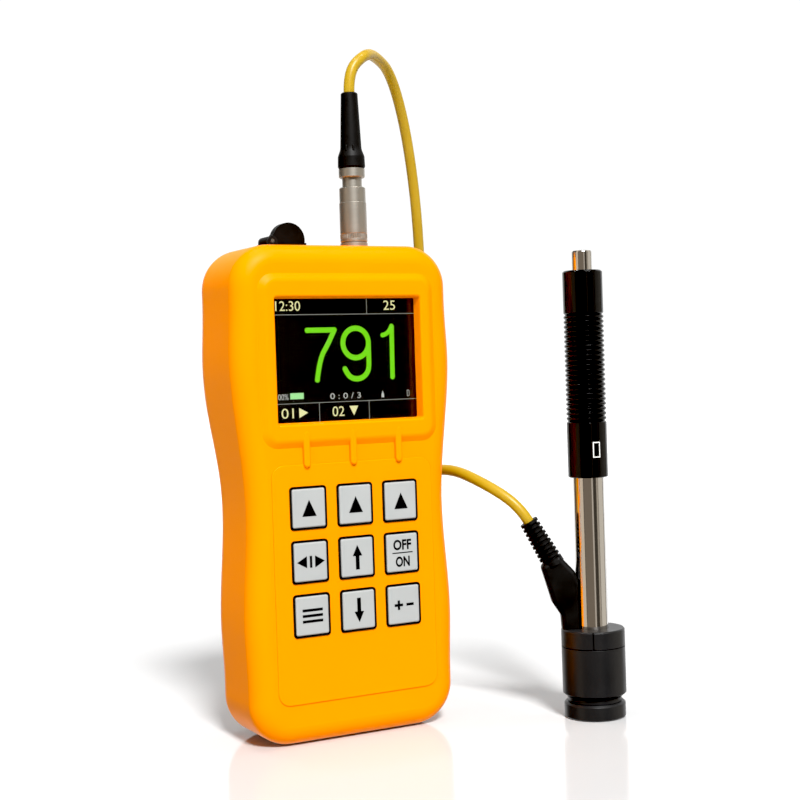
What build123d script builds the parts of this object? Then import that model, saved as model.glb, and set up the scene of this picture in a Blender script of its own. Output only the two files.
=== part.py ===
from build123d import *
import os
from math import cos, pi, radians, sin, tan

# Leeb hardness tester: an upright hand unit, and an impact device that stands
# beside it on its support ring. Z is up, the unit's display faces -Y, and the
# origin is the middle of the unit's base.

# clearances
slip = 0.1
snug = 0.05
gap = 0.15

# hand unit: outer form
unit_height = 153.0
base_width = 69.8
grip_width = 71.0
waist_width = 67.6
head_width = 75.0
crown_width = 73.6
grip_level = 36.0
waist_level = 73.0
head_level = 117.0
corner_radius = 13.0
side_straight = 3.0
face_y = -16.5
face_edge_radius = 6.0
back_edge_radius = 8.0
wall = 2.2
parting_y = 7.0
inner_face_y = face_y + wall
inner_top = unit_height - wall

# case screws
low_screw_x = 24.5
low_screw_z = 14.0
high_screw_x = 25.0
high_screw_drop = 10.5
boss_radius = 3.0
rear_boss_radius = 3.5
screw_radius = 1.2
screw_head_radius = 2.6
screw_head = 2.2
screw_sunk = 0.5
screw_bite = 11.0
high_screw_z = unit_height - high_screw_drop

# display bezel, window and panel
bezel_width = 60.0
bezel_height = 53.0
bezel_drop = 35.6
bezel_raise = 1.3
bezel_corner = 6.5
bezel_slope = 58.0
bezel_edge_radius = 2.4
window_width = 50.0
window_height = 38.9
window_drop = 35.65
window_corner = 1.0
window_draft = 9.0
lip_radius = 0.7
lens_overlap = 2.5
lens_thickness = 1.45
display_frame_depth = 3.25
display_pocket_depth = 2.15
display_rim = 1.4
display_leg_radius = 1.5
display_leg_inset = 5.5
display_leg_drop = 17.0
display_leg_length = 4.3
bezel_level = unit_height - bezel_drop
window_level = unit_height - window_drop
lens_width = window_width + 2 * lens_overlap
lens_height = window_height + 2 * lens_overlap
lens_front_y = inner_face_y + snug
lens_back_y = lens_front_y + lens_thickness
frame_front_y = lens_back_y + snug
frame_back_y = frame_front_y + display_frame_depth

# keypad
key_columns = 3
key_rows = 3
key_pitch_x = 15.8
key_pitch_z = 16.4
keypad_drop = 29.7
key_opening_width = 12.4
key_opening_height = 13.3
key_opening_corner = 1.2
collar_wall = 0.6
collar_raise = 0.3
key_raise = 0.7
key_edge_radius = 0.5
key_travel = 0.5
key_flange = 0.6
key_flange_thickness = 0.6
key_stem_radius = 2.0
mat_side_margin = 1.2
mat_end_margin = 2.2
mat_thickness = 1.2
panel_width = 55.0
panel_low = 12.8
panel_below_bezel = 5.1
panel_raise = 0.4
panel_corner = 4.0
panel_edge_radius = 0.3
rib_width = 2.2
rib_onto_panel = 1.0
rib_onto_bezel = 5.1
rib_raise = 1.4
rib_edge_radius = 0.6
bezel_low = bezel_level - bezel_height / 2
panel_high = bezel_low - panel_below_bezel
panel_height = panel_high - panel_low
panel_level = (panel_high + panel_low) / 2
keypad_level = panel_high - keypad_drop
mat_width = (key_columns - 1) * key_pitch_x + key_opening_width + 2 * mat_side_margin
mat_height = (key_rows - 1) * key_pitch_z + key_opening_height + 2 * mat_end_margin
rib_low = panel_high - rib_onto_panel
rib_high = bezel_low + rib_onto_bezel

# main board and what it carries
board_thickness = 1.6
board_width = 58.0
board_below_post = 5.0
board_below_top = 19.0
board_tab_reach_left = 5.3
board_tab_reach_right = 13.5
board_tab_gap = 0.8
post_inset = 3.5
post_above_screw = 13.0
post_below_lens = 7.9
post_radius = 2.2
post_hole = 0.85
board_hole = 1.0
board_screw_radius = 0.8
board_screw_head_radius = 1.7
board_screw_head = 1.2
board_screw_length = 6.0
switch_size = 6.0
switch_body = 3.05
actuator_radius = 1.7
actuator_height = 0.6
chip_drop = 28.0
board_front_y = frame_back_y + display_leg_length
board_back_y = board_front_y + board_thickness
board_high = unit_height - board_below_top
board_tab_top = inner_top - board_tab_gap
post_x = board_width / 2 - post_inset
post_low = low_screw_z + post_above_screw
post_high = window_level - lens_height / 2 - post_below_lens
board_low = post_low - board_below_post
chip_level = board_high - chip_drop

# battery bay, and the back of the case that closes over it
battery_radius = 7.1
battery_length = 49.3
battery_nub_radius = 2.7
battery_nub = 1.2
battery_spring_length = 5.2
battery_spring_radius = 3.2
battery_spring_wire = 0.6
battery_spring_turns = 3
battery_side_gap = 0.5
battery_front_gap = 0.2
bay_behind_board = 2.6
bay_low = 11.0
bay_wall = 1.2
plate_size = 9.0
plate_thickness = 0.4
door_thickness = 1.4
door_lap_side = 2.8
door_lap_low = 1.0
door_lap_high = 6.2
door_corner = 2.5
door_ledge_low = 2.0
door_ledge_high = 1.8
hook_width = 3.0
hook_inset = 1.6
hook_thickness = 0.8
hook_reach = 1.7
hook_neck = 1.3
hook_gap = 0.2
door_screw_rise = 2.7
door_screw_radius = 1.1
door_screw_head_radius = 2.2
door_screw_head = 0.9
door_boss_radius = 3.0
door_boss_depth = 9.9
grip_slot_width = 0.8
grip_slot_length = 14.0
grip_slot_pitch = 2.2
grip_slot_count = 4
grip_slot_rise = 6.0
back_step_rise = 2.0
back_step_length = 34.0
back_step_depth = 3.2
cell_full = battery_length + battery_nub
battery_x = battery_radius + battery_side_gap
bay_half_width = battery_x + battery_radius + battery_side_gap
bay_high = bay_low + cell_full + battery_spring_length + slip + 2 * plate_thickness + 4 * snug
bay_front_y = board_back_y + bay_behind_board
battery_y = bay_front_y + battery_radius + battery_front_gap
door_half_width = bay_half_width + door_lap_side
door_low = bay_low - door_lap_low
door_high = bay_high + door_lap_high
door_opening_low = bay_low + door_ledge_low
door_opening_high = bay_high - door_ledge_high
door_screw_z = bay_high + door_screw_rise
hook_pitch = bay_half_width - hook_inset
grip_back_y = battery_y + battery_radius + battery_side_gap + door_thickness
head_back_y = grip_back_y + back_step_depth
back_step_low = door_high + back_step_rise
back_step_high = back_step_low + back_step_length
bay_back_y = grip_back_y - wall
door_inner_y = grip_back_y - door_thickness

# data port under its hinged cover
port_x = -14.5
port_y = -1.6
port_width = 8.2
port_depth = 4.4
port_corner = 1.2
port_socket_drop = 1.5
port_socket_length = 8.5
hinge_reach = 5.1
hinge_rise = 1.75
hinge_radius = 1.55
hinge_pin_radius = 0.6
hinge_half_width = 4.0
ear_thickness = 1.4
anchor_length = 4.1
anchor_plate = 0.9
peg_radius = 0.8
peg_inset = 1.4
cover_reach = 7.3
cover_thickness = 1.2
cover_tab_radius = 5.4
cover_tab_shift = 1.5
cover_tab_rise = 2.3
cover_tab_thickness = 3.0
cover_plug_depth = 1.3
port_socket_top = unit_height - port_socket_drop
hinge_x = port_x - hinge_reach
hinge_z = unit_height + hinge_rise
cover_end_x = port_x + cover_reach
cover_tab_x = port_x + cover_tab_shift
board_tab_left = port_x - board_tab_reach_left
board_tab_right = port_x + board_tab_reach_right

# probe socket and the plug in it
probe_x = 11.2
probe_y = 0.0
socket_flange_radius = 4.4
socket_flange = 2.0
socket_barrel_radius = 3.7
socket_body_radius = 3.4
socket_barrel_length = 8.0
socket_length = 14.0
socket_floor = 2.0
socket_cavity_radius = 2.8
nut_across_flats = 10.0
nut_thickness = 2.0
insert_height = 4.5
pin_circle = 1.3
pin_radius = 0.35
nose_drop = 6.0
neck_radius = 3.15
sleeve_wall = 1.1
sleeve_relief = 0.15
sleeve_grip_length = 12.5
sleeve_shoulder = 5.0
sleeve_travel = 1.8
sleeve_stop_gap = 1.3
plug_nut_length = 3.1
plug_nut_radius = 4.175
plug_thread_radius = 3.0
plug_relief_length = 24.2
relief_foot_radius = 4.1
relief_bulge_radius = 4.4
relief_waist_radius = 3.4
relief_tip_radius = 2.7
socket_top = unit_height + socket_flange
socket_barrel_bottom = unit_height - socket_barrel_length
socket_bottom = unit_height - socket_length
nose_radius = socket_cavity_radius - snug
nose_bottom = unit_height - nose_drop
sleeve_bottom = socket_top + slip
sleeve_step = sleeve_bottom + sleeve_grip_length
sleeve_top = sleeve_step + sleeve_shoulder
sleeve_radius = neck_radius + slip + sleeve_wall
sleeve_step_radius = sleeve_radius - sleeve_relief
neck_bottom = sleeve_bottom + 4 * slip
plug_nut_bottom = sleeve_top + sleeve_travel + sleeve_stop_gap
plug_nut_top = plug_nut_bottom + plug_nut_length
relief_top = plug_nut_top + plug_relief_length

# cable, from the plug and from the boot down to the coil behind the unit
cable_diameter = 3.6
coil_x = 22.0
coil_y = 60.0
coil_radius = 20.0
coil_strands = 3
tie_thickness = 0.4
tie_angle = 22.0
tie_heading = 79.0
upper_points = [
    (17.5, 0.9, 216.0),
    (26.0, 10.5, 218.6),
    (36.9, 18.8, 214.9),
    (45.7, 24.7, 194.4),
    (51.3, 28.8, 162.6),
    (53.7, 33.6, 123.8),
    (53.2, 38.5, 86.0),
    (52.0, 42.0, 54.0),
    (50.6, 44.0, 34.0),
    (49.2, 48.0, 21.0),
    (47.5, 56.0, 12.5),
    (45.7, 67.0, 9.4),
    (43.3, 77.0, 9.4),
]
upper_lead = 7.0
lower_points = [
    (48.6, -15.3, 75.4),
    (44.4, 1.1, 80.5),
    (41.2, 17.9, 77.3),
    (36.5, 27.0, 61.0),
    (27.5, 31.0, 41.0),
    (15.5, 33.0, 21.5),
    (4.5, 37.5, 7.5),
    (-1.2, 48.0, 2.2),
    (-1.4, 59.0, 2.2),
]
lower_lead = 6.0

# impact device: axis, and its turned pieces from the bottom up
device_x = 75.0
device_y = -35.5
guide_radius = 5.05
guide_bore = 3.0
guide_bottom = 2.0
guide_lip = 3.0
guide_lip_bore = 1.7
ring_radius = 9.85
ring_height = 4.9
ring_chamfer = 0.6
ring_floor = 1.8
ring_bore_gap = 0.35
collar_radius = 7.4
housing_radius = 10.2
housing_wall = 1.8
housing_neck_radius = 8.6
housing_neck = 1.4
housing_chamfer = 1.4
housing_plate = 3.1
housing_depth = 14.6
cap_height = 5.8
cap_plate = 3.0
cap_spigot = 2.0
cap_spigot_wall = 1.1
cap_slit = 0.6
bobbin_wall = 0.95
bobbin_flange = 1.2
winding_gap = 0.6
ring_bore = guide_radius + ring_bore_gap
housing_bore = housing_radius - housing_wall
housing_plate_top = ring_height + housing_plate
housing_top = housing_plate_top + housing_depth
cap_top = housing_top + cap_height
bobbin_core = guide_radius + bobbin_wall
bobbin_bottom = housing_plate_top + snug
bobbin_top = housing_top - cap_spigot - 2 * slip
winding_radius = housing_bore - winding_gap

# loading tube with the button in its top, and the chuck and springs inside
loading_top = 143.5
loading_length = 66.4
loading_wall = 1.0
loading_bore_gap = 0.35
loading_guide_length = 17.0
loading_plate = 1.5
loading_travel = 24.0
groove_rise = 17.4
groove_pitch = 1.55
groove_depth = 0.55
groove_count = 23
button_radius = 3.3
button_height = 6.5
button_flange = 1.0
button_travel = 2.5
release_spring_length = 4.9
release_spring_wire = 0.4
release_spring_turns = 3
release_rod_radius = 0.7
chuck_flange = 2.0
loading_spring_length = 35.5
loading_spring_wire = 0.7
loading_spring_turns = 10
rod_radius = 1.5
rod_bore = 0.9
rod_length = 74.9
chuck_radius = 2.2
chuck_length = 11.4
chuck_depth = 5.4
chuck_cavity = 1.5
chuck_mouth = 1.4
loading_bore = guide_radius + loading_bore_gap
loading_radius = loading_bore + loading_wall
loading_bottom = loading_top - loading_length
groove_low = loading_bottom + groove_rise
plate_bottom = loading_top - loading_plate
button_top = loading_top + button_height
button_flange_radius = loading_bore - 6 * slip
button_flange_top = plate_bottom - slip
button_flange_bottom = button_flange_top - button_flange
chuck_flange_top = button_flange_bottom - release_spring_length
chuck_flange_bottom = chuck_flange_top - chuck_flange
guide_top = chuck_flange_bottom - loading_spring_length
chuck_bottom = chuck_flange_bottom - rod_length
chuck_top = chuck_bottom + chuck_length
release_rod_bottom = chuck_bottom + chuck_depth
loading_spring_radius = loading_bore - 0.55 - loading_spring_wire / 2
release_spring_radius = button_flange_radius - 0.8 - release_spring_wire / 2

# impact body under the chuck, with its ball
impact_clearance = 0.3
impact_bottom = 4.6
impact_stem_radius = 0.9
impact_stem_length = 3.4
impact_knob_radius = 1.25
impact_knob_length = 2.6
knob_in_chuck = 0.8
impact_spring_wire = 0.36
impact_spring_turns = 22
ball_radius = 1.5
ball_level = 1.6
holder_height = 1.8
magnet_radius = 1.9
magnet_rise = 3.6
magnet_length = 4.0
impact_radius = guide_bore - impact_clearance
impact_knob_bottom = chuck_bottom - loading_travel + knob_in_chuck
impact_knob_top = impact_knob_bottom + impact_knob_length
impact_top = impact_knob_bottom - impact_stem_length
impact_spring_radius = guide_bore - impact_spring_wire / 2 - 0.22
holder_top = impact_bottom + holder_height
magnet_low = holder_top + magnet_rise
magnet_high = magnet_low + magnet_length

# cable boot on the side of the impact device: its outline outwards from the
# axis and up from the cap, and its ribbed relief
boot_heading = 152.0
boot_half_thickness = 3.15
boot_neck_radius = 2.2
boot_edge_radius = 1.5
boot_inner = guide_radius - 0.45
boot_outline = [
    (boot_inner, 0.0),
    (9.9, 0.0),
    (10.2, 4.4),
    (12.9, 8.6),
    (16.3, 20.4),
    (10.6, 24.2),
    (5.5, 18.6),
    (boot_inner, 16.6),
]
boot_relief_out = 19.7
boot_relief_rise = 34.9
boot_relief_tilt = 29.0
boot_relief_length = 16.2
boot_relief_root_radius = 3.6
boot_relief_tip_radius = 3.0
boot_rib_pitch = 1.55
boot_rib_count = 9
boot_slot_depth = 0.6
boot_neck_s = (guide_radius + snug + housing_radius) / 2
boot_points = [(out, cap_top + rise) for out, rise in boot_outline]
boot_relief_tip = (boot_relief_out, cap_top + boot_relief_rise)

os.makedirs("parts", exist_ok=True)


def depth(y):
    """Upright plane at depth y, looking from the front."""
    return Plane.XZ.offset(-y)


def level(z):
    """Flat plane at height z."""
    return Plane.XY.offset(z)


def body_form(inset):
    """The hand unit's outer form, or the same form a wall's thickness further in."""
    bottom = inset
    top = unit_height - inset
    low_end = corner_radius + side_straight
    high_end = unit_height - corner_radius - side_straight
    half_base = base_width / 2 - inset
    half_grip = grip_width / 2 - inset
    half_waist = waist_width / 2 - inset
    half_head = head_width / 2 - inset
    half_crown = crown_width / 2 - inset
    with BuildPart() as form:
        with BuildSketch(Plane.XZ) as outline:
            with BuildLine():
                low = Line((half_base, bottom), (half_base, low_end))
                side = Spline(
                    low @ 1,
                    (half_grip, grip_level),
                    (half_waist, waist_level),
                    (half_head, head_level),
                    (half_crown, high_end),
                    tangents=[(0, 1), (0, 1)],
                )
                high = Line(side @ 1, (half_crown, top))
                Line(high @ 1, (0, top))
                Line((0, bottom), low @ 0)
                mirror(about=Plane.YZ)
            make_face()
            ends = outline.vertices().group_by(Axis.Y)
            corners = [v for v in ends[0] + ends[-1] if abs(v.X) > 1]
            fillet(corners, corner_radius - inset)
        extrude(amount=2 * head_back_y, both=True)
        with BuildSketch(Plane.YZ):
            with BuildLine():
                face = Line((face_y + inset, bottom), (face_y + inset, top))
                crown = Line(face @ 1, (head_back_y - inset, top))
                head = Line(crown @ 1, (head_back_y - inset, back_step_high))
                step = Spline(
                    head @ 1,
                    (grip_back_y - inset, back_step_low),
                    tangents=[(0, -1), (0, -1)],
                )
                grip = Line(step @ 1, (grip_back_y - inset, bottom))
                Line(grip @ 1, face @ 0)
            make_face()
        extrude(amount=head_width, both=True, mode=Mode.INTERSECT)
        fillet(form.edges().group_by(Axis.Y)[0], face_edge_radius - inset)
        back_faces = form.faces().filter_by(lambda f: f.normal_at().Y > 0.9)
        owners = {}
        for back in back_faces:
            for edge in back.edges():
                key = tuple(round(c, 3) for c in edge.center())
                owners.setdefault(key, []).append(edge)
        rim = [edges[0] for edges in owners.values() if len(edges) == 1]
        fillet(rim, back_edge_radius - inset)
    return form.part


def turned(plane, axis, profile, mode=Mode.ADD):
    """Turn a closed profile of (radius, height) points about an upright axis."""
    with BuildSketch(plane) as section:
        with BuildLine():
            Polyline(*profile, close=True)
        make_face()
    revolve(section.sketch, axis=axis, mode=mode)


def coil_spring(x, y, low, high, radius, wire, turns):
    """A round-wire spring between two levels, its wire inside both."""
    length = high - low - wire
    with BuildPart() as spring:
        with BuildLine() as path:
            Helix(pitch=length / turns, height=length, radius=radius, center=(x, y, low + wire / 2))
        with BuildSketch(Plane(origin=path.line @ 0, z_dir=path.line % 0)):
            Circle(wire / 2)
        sweep(path=path.line, is_frenet=True)
    return spring.part


def cable_tube(points, name):
    """A cable through the points of its route, its corners as round as the runs allow."""
    corners = [Vector(*p) for p in points]
    radii = []
    turns = []
    for before, here, after in zip(corners, corners[1:], corners[2:]):
        turn = (here - before).get_angle(after - here)
        shorter = min((here - before).length, (after - here).length)
        radii.append(0.45 * shorter / tan(radians(turn) / 2))
        turns.append(turn)
    with BuildPart() as tube:
        with BuildLine():
            route = FilletPolyline(*points, radius=radii)
        with BuildSketch(Plane(origin=route @ 0, z_dir=route % 0)):
            Circle(cable_diameter / 2)
        sweep(path=route)
    length = route.length
    section = pi * cable_diameter**2 / 4
    print(name, "radii", [round(r, 1) for r in radii])
    print(name, "turns", [round(t) for t in turns])
    print(name, "length", round(length, 1), "volume ratio", round(tube.part.volume / section / length, 4))
    return tube.part


# levels and places that follow from the sizes above
bezel_front_y = face_y - bezel_raise
panel_front_y = face_y - panel_raise
mat_front_y = inner_face_y + snug
mat_back_y = mat_front_y + mat_thickness
key_front_y = panel_front_y - key_raise
collar_front_y = panel_front_y - collar_raise
collar_width = key_opening_width - 2 * snug
collar_height = key_opening_height - 2 * snug
keycap_width = collar_width - 2 * collar_wall - 2 * slip
keycap_height = collar_height - 2 * collar_wall - 2 * slip
flange_front_y = mat_back_y + snug
flange_back_y = flange_front_y + key_flange_thickness
switch_front_y = board_front_y - snug - switch_body
actuator_front_y = switch_front_y - actuator_height
stem_back_y = actuator_front_y - slip - key_travel
key_x = [(i - (key_columns - 1) / 2) * key_pitch_x for i in range(key_columns)]
key_z = [keypad_level + ((key_rows - 1) / 2 - j) * key_pitch_z for j in range(key_rows)]
low_screws = [(-low_screw_x, low_screw_z), (low_screw_x, low_screw_z)]
high_screws = [(-high_screw_x, high_screw_z), (high_screw_x, high_screw_z)]
posts = [(x, z) for x in (-post_x, post_x) for z in (post_low, post_high)]
low_seat_y = grip_back_y - screw_sunk - screw_head
high_seat_y = head_back_y - screw_sunk - screw_head
peg_y = hinge_half_width - peg_radius - 2 * slip
pegs = [(hinge_x - peg_inset, port_y - peg_y), (hinge_x - peg_inset, port_y + peg_y)]
device_plane = Plane(origin=(device_x, device_y, 0), x_dir=(1, 0, 0), z_dir=(0, -1, 0))
device_axis = Axis((device_x, device_y, 0), (0, 0, 1))
probe_plane = Plane(origin=(probe_x, probe_y, 0), x_dir=(1, 0, 0), z_dir=(0, -1, 0))
probe_axis = Axis((probe_x, probe_y, 0), (0, 0, 1))

outer_form = body_form(0)
inner_form = body_form(wall)

# Front cover: the face with its raised bezel, keypad panel and three ribs, the
# display opening, the key openings, and the bosses and board posts behind.
sunk = 0.8
spread = sunk * tan(radians(bezel_slope))
with BuildPart() as bezel:
    with BuildSketch(depth(face_y + sunk)):
        with Locations((0, bezel_level)):
            RectangleRounded(bezel_width + 2 * spread, bezel_height + 2 * spread, bezel_corner)
    extrude(amount=sunk + bezel_raise, taper=bezel_slope)
    fillet(bezel.faces().sort_by(Axis.Y)[0].edges(), bezel_edge_radius)

with BuildPart() as panel:
    with BuildSketch(depth(face_y + sunk)):
        with Locations((0, panel_level)):
            RectangleRounded(panel_width, panel_height, panel_corner)
    extrude(amount=sunk + panel_raise)
    fillet(panel.faces().sort_by(Axis.Y)[0].edges(), panel_edge_radius)

with BuildPart() as ribs:
    with BuildSketch(depth(face_y + sunk)):
        with Locations(*[(x, (rib_low + rib_high) / 2) for x in key_x]):
            SlotOverall(rib_high - rib_low, rib_width, rotation=90)
    extrude(amount=sunk + rib_raise)
    fillet(ribs.faces().filter_by(Axis.Y).group_by(Axis.Y)[0].edges(), rib_edge_radius)

with BuildPart() as front_cover:
    add(outer_form)
    split(bisect_by=depth(parting_y), keep=Keep.TOP)
    add(bezel.part)
    add(panel.part)
    add(ribs.part)
    add(inner_form, mode=Mode.SUBTRACT)
    with BuildSketch(depth(bezel_front_y)):
        with Locations((0, window_level)):
            RectangleRounded(window_width, window_height, window_corner)
    extrude(amount=-(bezel_raise + wall + 0.3), taper=window_draft, mode=Mode.SUBTRACT)
    lip = front_cover.faces().filter_by(lambda f: abs(f.center().Y - bezel_front_y) < 0.01)
    lip_edges = [w for w in lip[0].inner_wires()][0].edges()
    fillet(lip_edges, lip_radius)
    with BuildSketch(depth(panel_front_y - 1)):
        with Locations((0, keypad_level)):
            with GridLocations(key_pitch_x, key_pitch_z, key_columns, key_rows):
                RectangleRounded(key_opening_width, key_opening_height, key_opening_corner)
    extrude(amount=-(panel_raise + wall + 1.3), mode=Mode.SUBTRACT)
    with BuildSketch(depth(parting_y - slip)):
        with Locations(*low_screws, *high_screws):
            Circle(boss_radius)
    extrude(amount=parting_y - slip - inner_face_y + 0.5)
    with BuildSketch(depth(board_front_y - snug)):
        with Locations(*posts):
            Circle(post_radius)
    extrude(amount=board_front_y - snug - inner_face_y + 0.5)
    with BuildSketch(depth(parting_y - slip)):
        with Locations(*low_screws, *high_screws):
            Circle(screw_radius + snug)
    extrude(amount=screw_bite + 1, mode=Mode.SUBTRACT)
    with BuildSketch(depth(board_front_y - snug)):
        with Locations(*posts):
            Circle(post_hole)
    extrude(amount=board_screw_length + 0.5, mode=Mode.SUBTRACT)
    with BuildSketch(level(inner_top - 1)):
        with Locations((probe_x, probe_y)):
            Circle(socket_barrel_radius + slip)
        with Locations((port_x, port_y)):
            RectangleRounded(port_width, port_depth, port_corner)
        with Locations(*pegs):
            Circle(peg_radius + snug)
    extrude(amount=wall + 2, mode=Mode.SUBTRACT)
front_cover.part.label = "front_cover"
export_step(front_cover.part, "parts/front_cover.step")

# Rear cover: the back half with its screw bosses, the battery bay and the
# pocket that the battery door lies in.
with BuildPart() as rear_cover:
    add(outer_form)
    split(bisect_by=depth(parting_y), keep=Keep.BOTTOM)
    add(inner_form, mode=Mode.SUBTRACT)
    with BuildSketch(depth(bay_back_y + 0.5)):
        with Locations((0, (bay_low + bay_high) / 2)):
            Rectangle(2 * (bay_half_width + bay_wall), bay_high - bay_low + 2 * bay_wall)
    extrude(amount=bay_back_y + 0.5 - bay_front_y + bay_wall)
    with BuildSketch(depth(parting_y + slip)):
        with Locations(*low_screws):
            Circle(rear_boss_radius)
    extrude(amount=-(bay_back_y + 0.5 - parting_y - slip))
    with BuildSketch(depth(parting_y + slip)):
        with Locations(*high_screws):
            Circle(rear_boss_radius)
    extrude(amount=-(head_back_y - wall + 0.5 - parting_y - slip))
    with BuildSketch(depth(door_inner_y)):
        with Locations((0, door_screw_z)):
            Circle(door_boss_radius)
    extrude(amount=door_boss_depth)
    with BuildSketch(depth(bay_back_y)):
        with Locations((0, (bay_low + bay_high) / 2)):
            Rectangle(2 * bay_half_width, bay_high - bay_low)
    extrude(amount=bay_back_y - bay_front_y, mode=Mode.SUBTRACT)
    with BuildSketch(depth(bay_back_y - 0.5)):
        with Locations((0, (door_opening_low + door_opening_high) / 2)):
            Rectangle(2 * bay_half_width, door_opening_high - door_opening_low)
    extrude(amount=-(wall + 1), mode=Mode.SUBTRACT)
    with BuildSketch(depth(door_inner_y)):
        with Locations((0, (door_low + door_high) / 2)):
            RectangleRounded(
                2 * (door_half_width + gap), door_high - door_low + 2 * gap, door_corner + gap
            )
    extrude(amount=-(door_thickness + 1), mode=Mode.SUBTRACT)
    with BuildSketch(depth(door_inner_y + 0.5)):
        with Locations((0, door_screw_z)):
            Circle(door_screw_radius + slip)
    extrude(amount=door_boss_depth - 1, mode=Mode.SUBTRACT)
    with BuildSketch(depth(parting_y)):
        with Locations(*low_screws, *high_screws):
            Circle(screw_radius + snug)
    extrude(amount=-(head_back_y - parting_y + 1), mode=Mode.SUBTRACT)
    with BuildSketch(depth(low_seat_y)):
        with Locations(*low_screws):
            Circle(screw_head_radius + 2 * slip)
    extrude(amount=-(screw_head + 3), mode=Mode.SUBTRACT)
    with BuildSketch(depth(high_seat_y)):
        with Locations(*high_screws):
            Circle(screw_head_radius + 2 * slip)
    extrude(amount=-(screw_head + 3), mode=Mode.SUBTRACT)
rear_cover.part.label = "rear_cover"
export_step(rear_cover.part, "parts/rear_cover.step")

# Battery door: a flat lid with three hooks at its lower edge and one screw at
# its upper edge.
hook_back_y = bay_back_y - slip
hook_low = door_opening_low + hook_gap
hook_x = [-hook_pitch, 0, hook_pitch]
with BuildPart() as battery_door:
    with BuildSketch(depth(grip_back_y)):
        with Locations((0, (door_low + door_high) / 2)):
            RectangleRounded(2 * door_half_width, door_high - door_low, door_corner)
    extrude(amount=door_thickness)
    with BuildSketch(depth(door_inner_y + 0.2)):
        with Locations(*[(x, hook_low + hook_neck / 2) for x in hook_x]):
            Rectangle(hook_width, hook_neck)
    extrude(amount=door_inner_y + 0.2 - hook_back_y + hook_thickness)
    with BuildSketch(depth(hook_back_y)):
        with Locations(*[(x, hook_low + (hook_neck - hook_reach) / 2) for x in hook_x]):
            Rectangle(hook_width, hook_neck + hook_reach)
    extrude(amount=hook_thickness)
    with BuildSketch(depth(grip_back_y)):
        with Locations((0, door_screw_z)):
            Circle(door_screw_head_radius + 2 * slip)
    extrude(amount=door_screw_head + slip, mode=Mode.SUBTRACT)
    with BuildSketch(depth(grip_back_y)):
        with Locations((0, door_screw_z)):
            Circle(door_screw_radius + 2 * slip)
    extrude(amount=door_thickness, mode=Mode.SUBTRACT)
    with BuildSketch(depth(grip_back_y)):
        with Locations(*[(0, door_low + grip_slot_rise + grip_slot_pitch * i) for i in range(grip_slot_count)]):
            SlotOverall(grip_slot_length, grip_slot_width)
    extrude(amount=grip_slot_width / 2, mode=Mode.SUBTRACT)
battery_door.part.label = "battery_door"
export_step(battery_door.part, "parts/battery_door.step")

with BuildPart() as battery_door_screw:
    with BuildSketch(depth(grip_back_y)):
        with Locations((0, door_screw_z)):
            Circle(door_screw_head_radius)
    extrude(amount=door_screw_head)
    with BuildSketch(depth(grip_back_y - door_screw_head)):
        with Locations((0, door_screw_z)):
            Circle(door_screw_radius)
    extrude(amount=door_boss_depth - 2)
    with BuildSketch(depth(grip_back_y)):
        with Locations((0, door_screw_z)):
            Rectangle(2.4, 0.5)
            Rectangle(0.5, 2.4)
    extrude(amount=0.5, mode=Mode.SUBTRACT)
battery_door_screw.part.label = "battery_door_screw"
export_step(battery_door_screw.part, "parts/battery_door_screw.step")

# Batteries: two cells side by side, one each way up.
right_low = bay_low + snug + plate_thickness + snug
left_low = right_low + battery_spring_length + slip
with BuildPart() as battery_left:
    turned(
        Plane(origin=(-battery_x, battery_y, left_low), x_dir=(1, 0, 0), z_dir=(0, -1, 0)),
        Axis((-battery_x, battery_y, 0), (0, 0, 1)),
        [
            (0, 0),
            (battery_radius - 0.6, 0),
            (battery_radius, 0.6),
            (battery_radius, battery_length - 0.8),
            (battery_radius - 0.8, battery_length),
            (battery_nub_radius, battery_length),
            (battery_nub_radius, cell_full),
            (0, cell_full),
        ],
    )
battery_left.part.label = "battery_left"
export_step(battery_left.part, "parts/battery_left.step")

with BuildPart() as battery_right:
    turned(
        Plane(origin=(battery_x, battery_y, right_low), x_dir=(1, 0, 0), z_dir=(0, -1, 0)),
        Axis((battery_x, battery_y, 0), (0, 0, 1)),
        [
            (0, 0),
            (battery_nub_radius, 0),
            (battery_nub_radius, battery_nub),
            (battery_radius - 0.8, battery_nub),
            (battery_radius, battery_nub + 0.8),
            (battery_radius, cell_full - 0.6),
            (battery_radius - 0.6, cell_full),
            (0, cell_full),
        ],
    )
battery_right.part.label = "battery_right"
export_step(battery_right.part, "parts/battery_right.step")

# Contact plates at both ends of the bay, and the spring on each cell's flat end.
plate_low = bay_low + snug
plate_high = bay_high - snug - plate_thickness
with BuildPart() as battery_plates:
    with BuildSketch(level(plate_low)):
        with Locations((-battery_x, battery_y), (battery_x, battery_y)):
            Rectangle(plate_size, plate_size)
    extrude(amount=plate_thickness)
    with BuildSketch(level(plate_high)):
        with Locations((-battery_x, battery_y), (battery_x, battery_y)):
            Rectangle(plate_size, plate_size)
    extrude(amount=plate_thickness)
battery_plates.part.label = "battery_plates"
export_step(battery_plates.part, "parts/battery_plates.step")

left_spring = coil_spring(
    -battery_x,
    battery_y,
    plate_low + plate_thickness + snug,
    left_low - snug,
    battery_spring_radius,
    battery_spring_wire,
    battery_spring_turns,
)
right_spring = coil_spring(
    battery_x,
    battery_y,
    right_low + cell_full + snug,
    plate_high - snug,
    battery_spring_radius,
    battery_spring_wire,
    battery_spring_turns,
)
with BuildPart() as battery_springs:
    add(left_spring)
    add(right_spring)
battery_springs.part.label = "battery_springs"
export_step(battery_springs.part, "parts/battery_springs.step")

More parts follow.
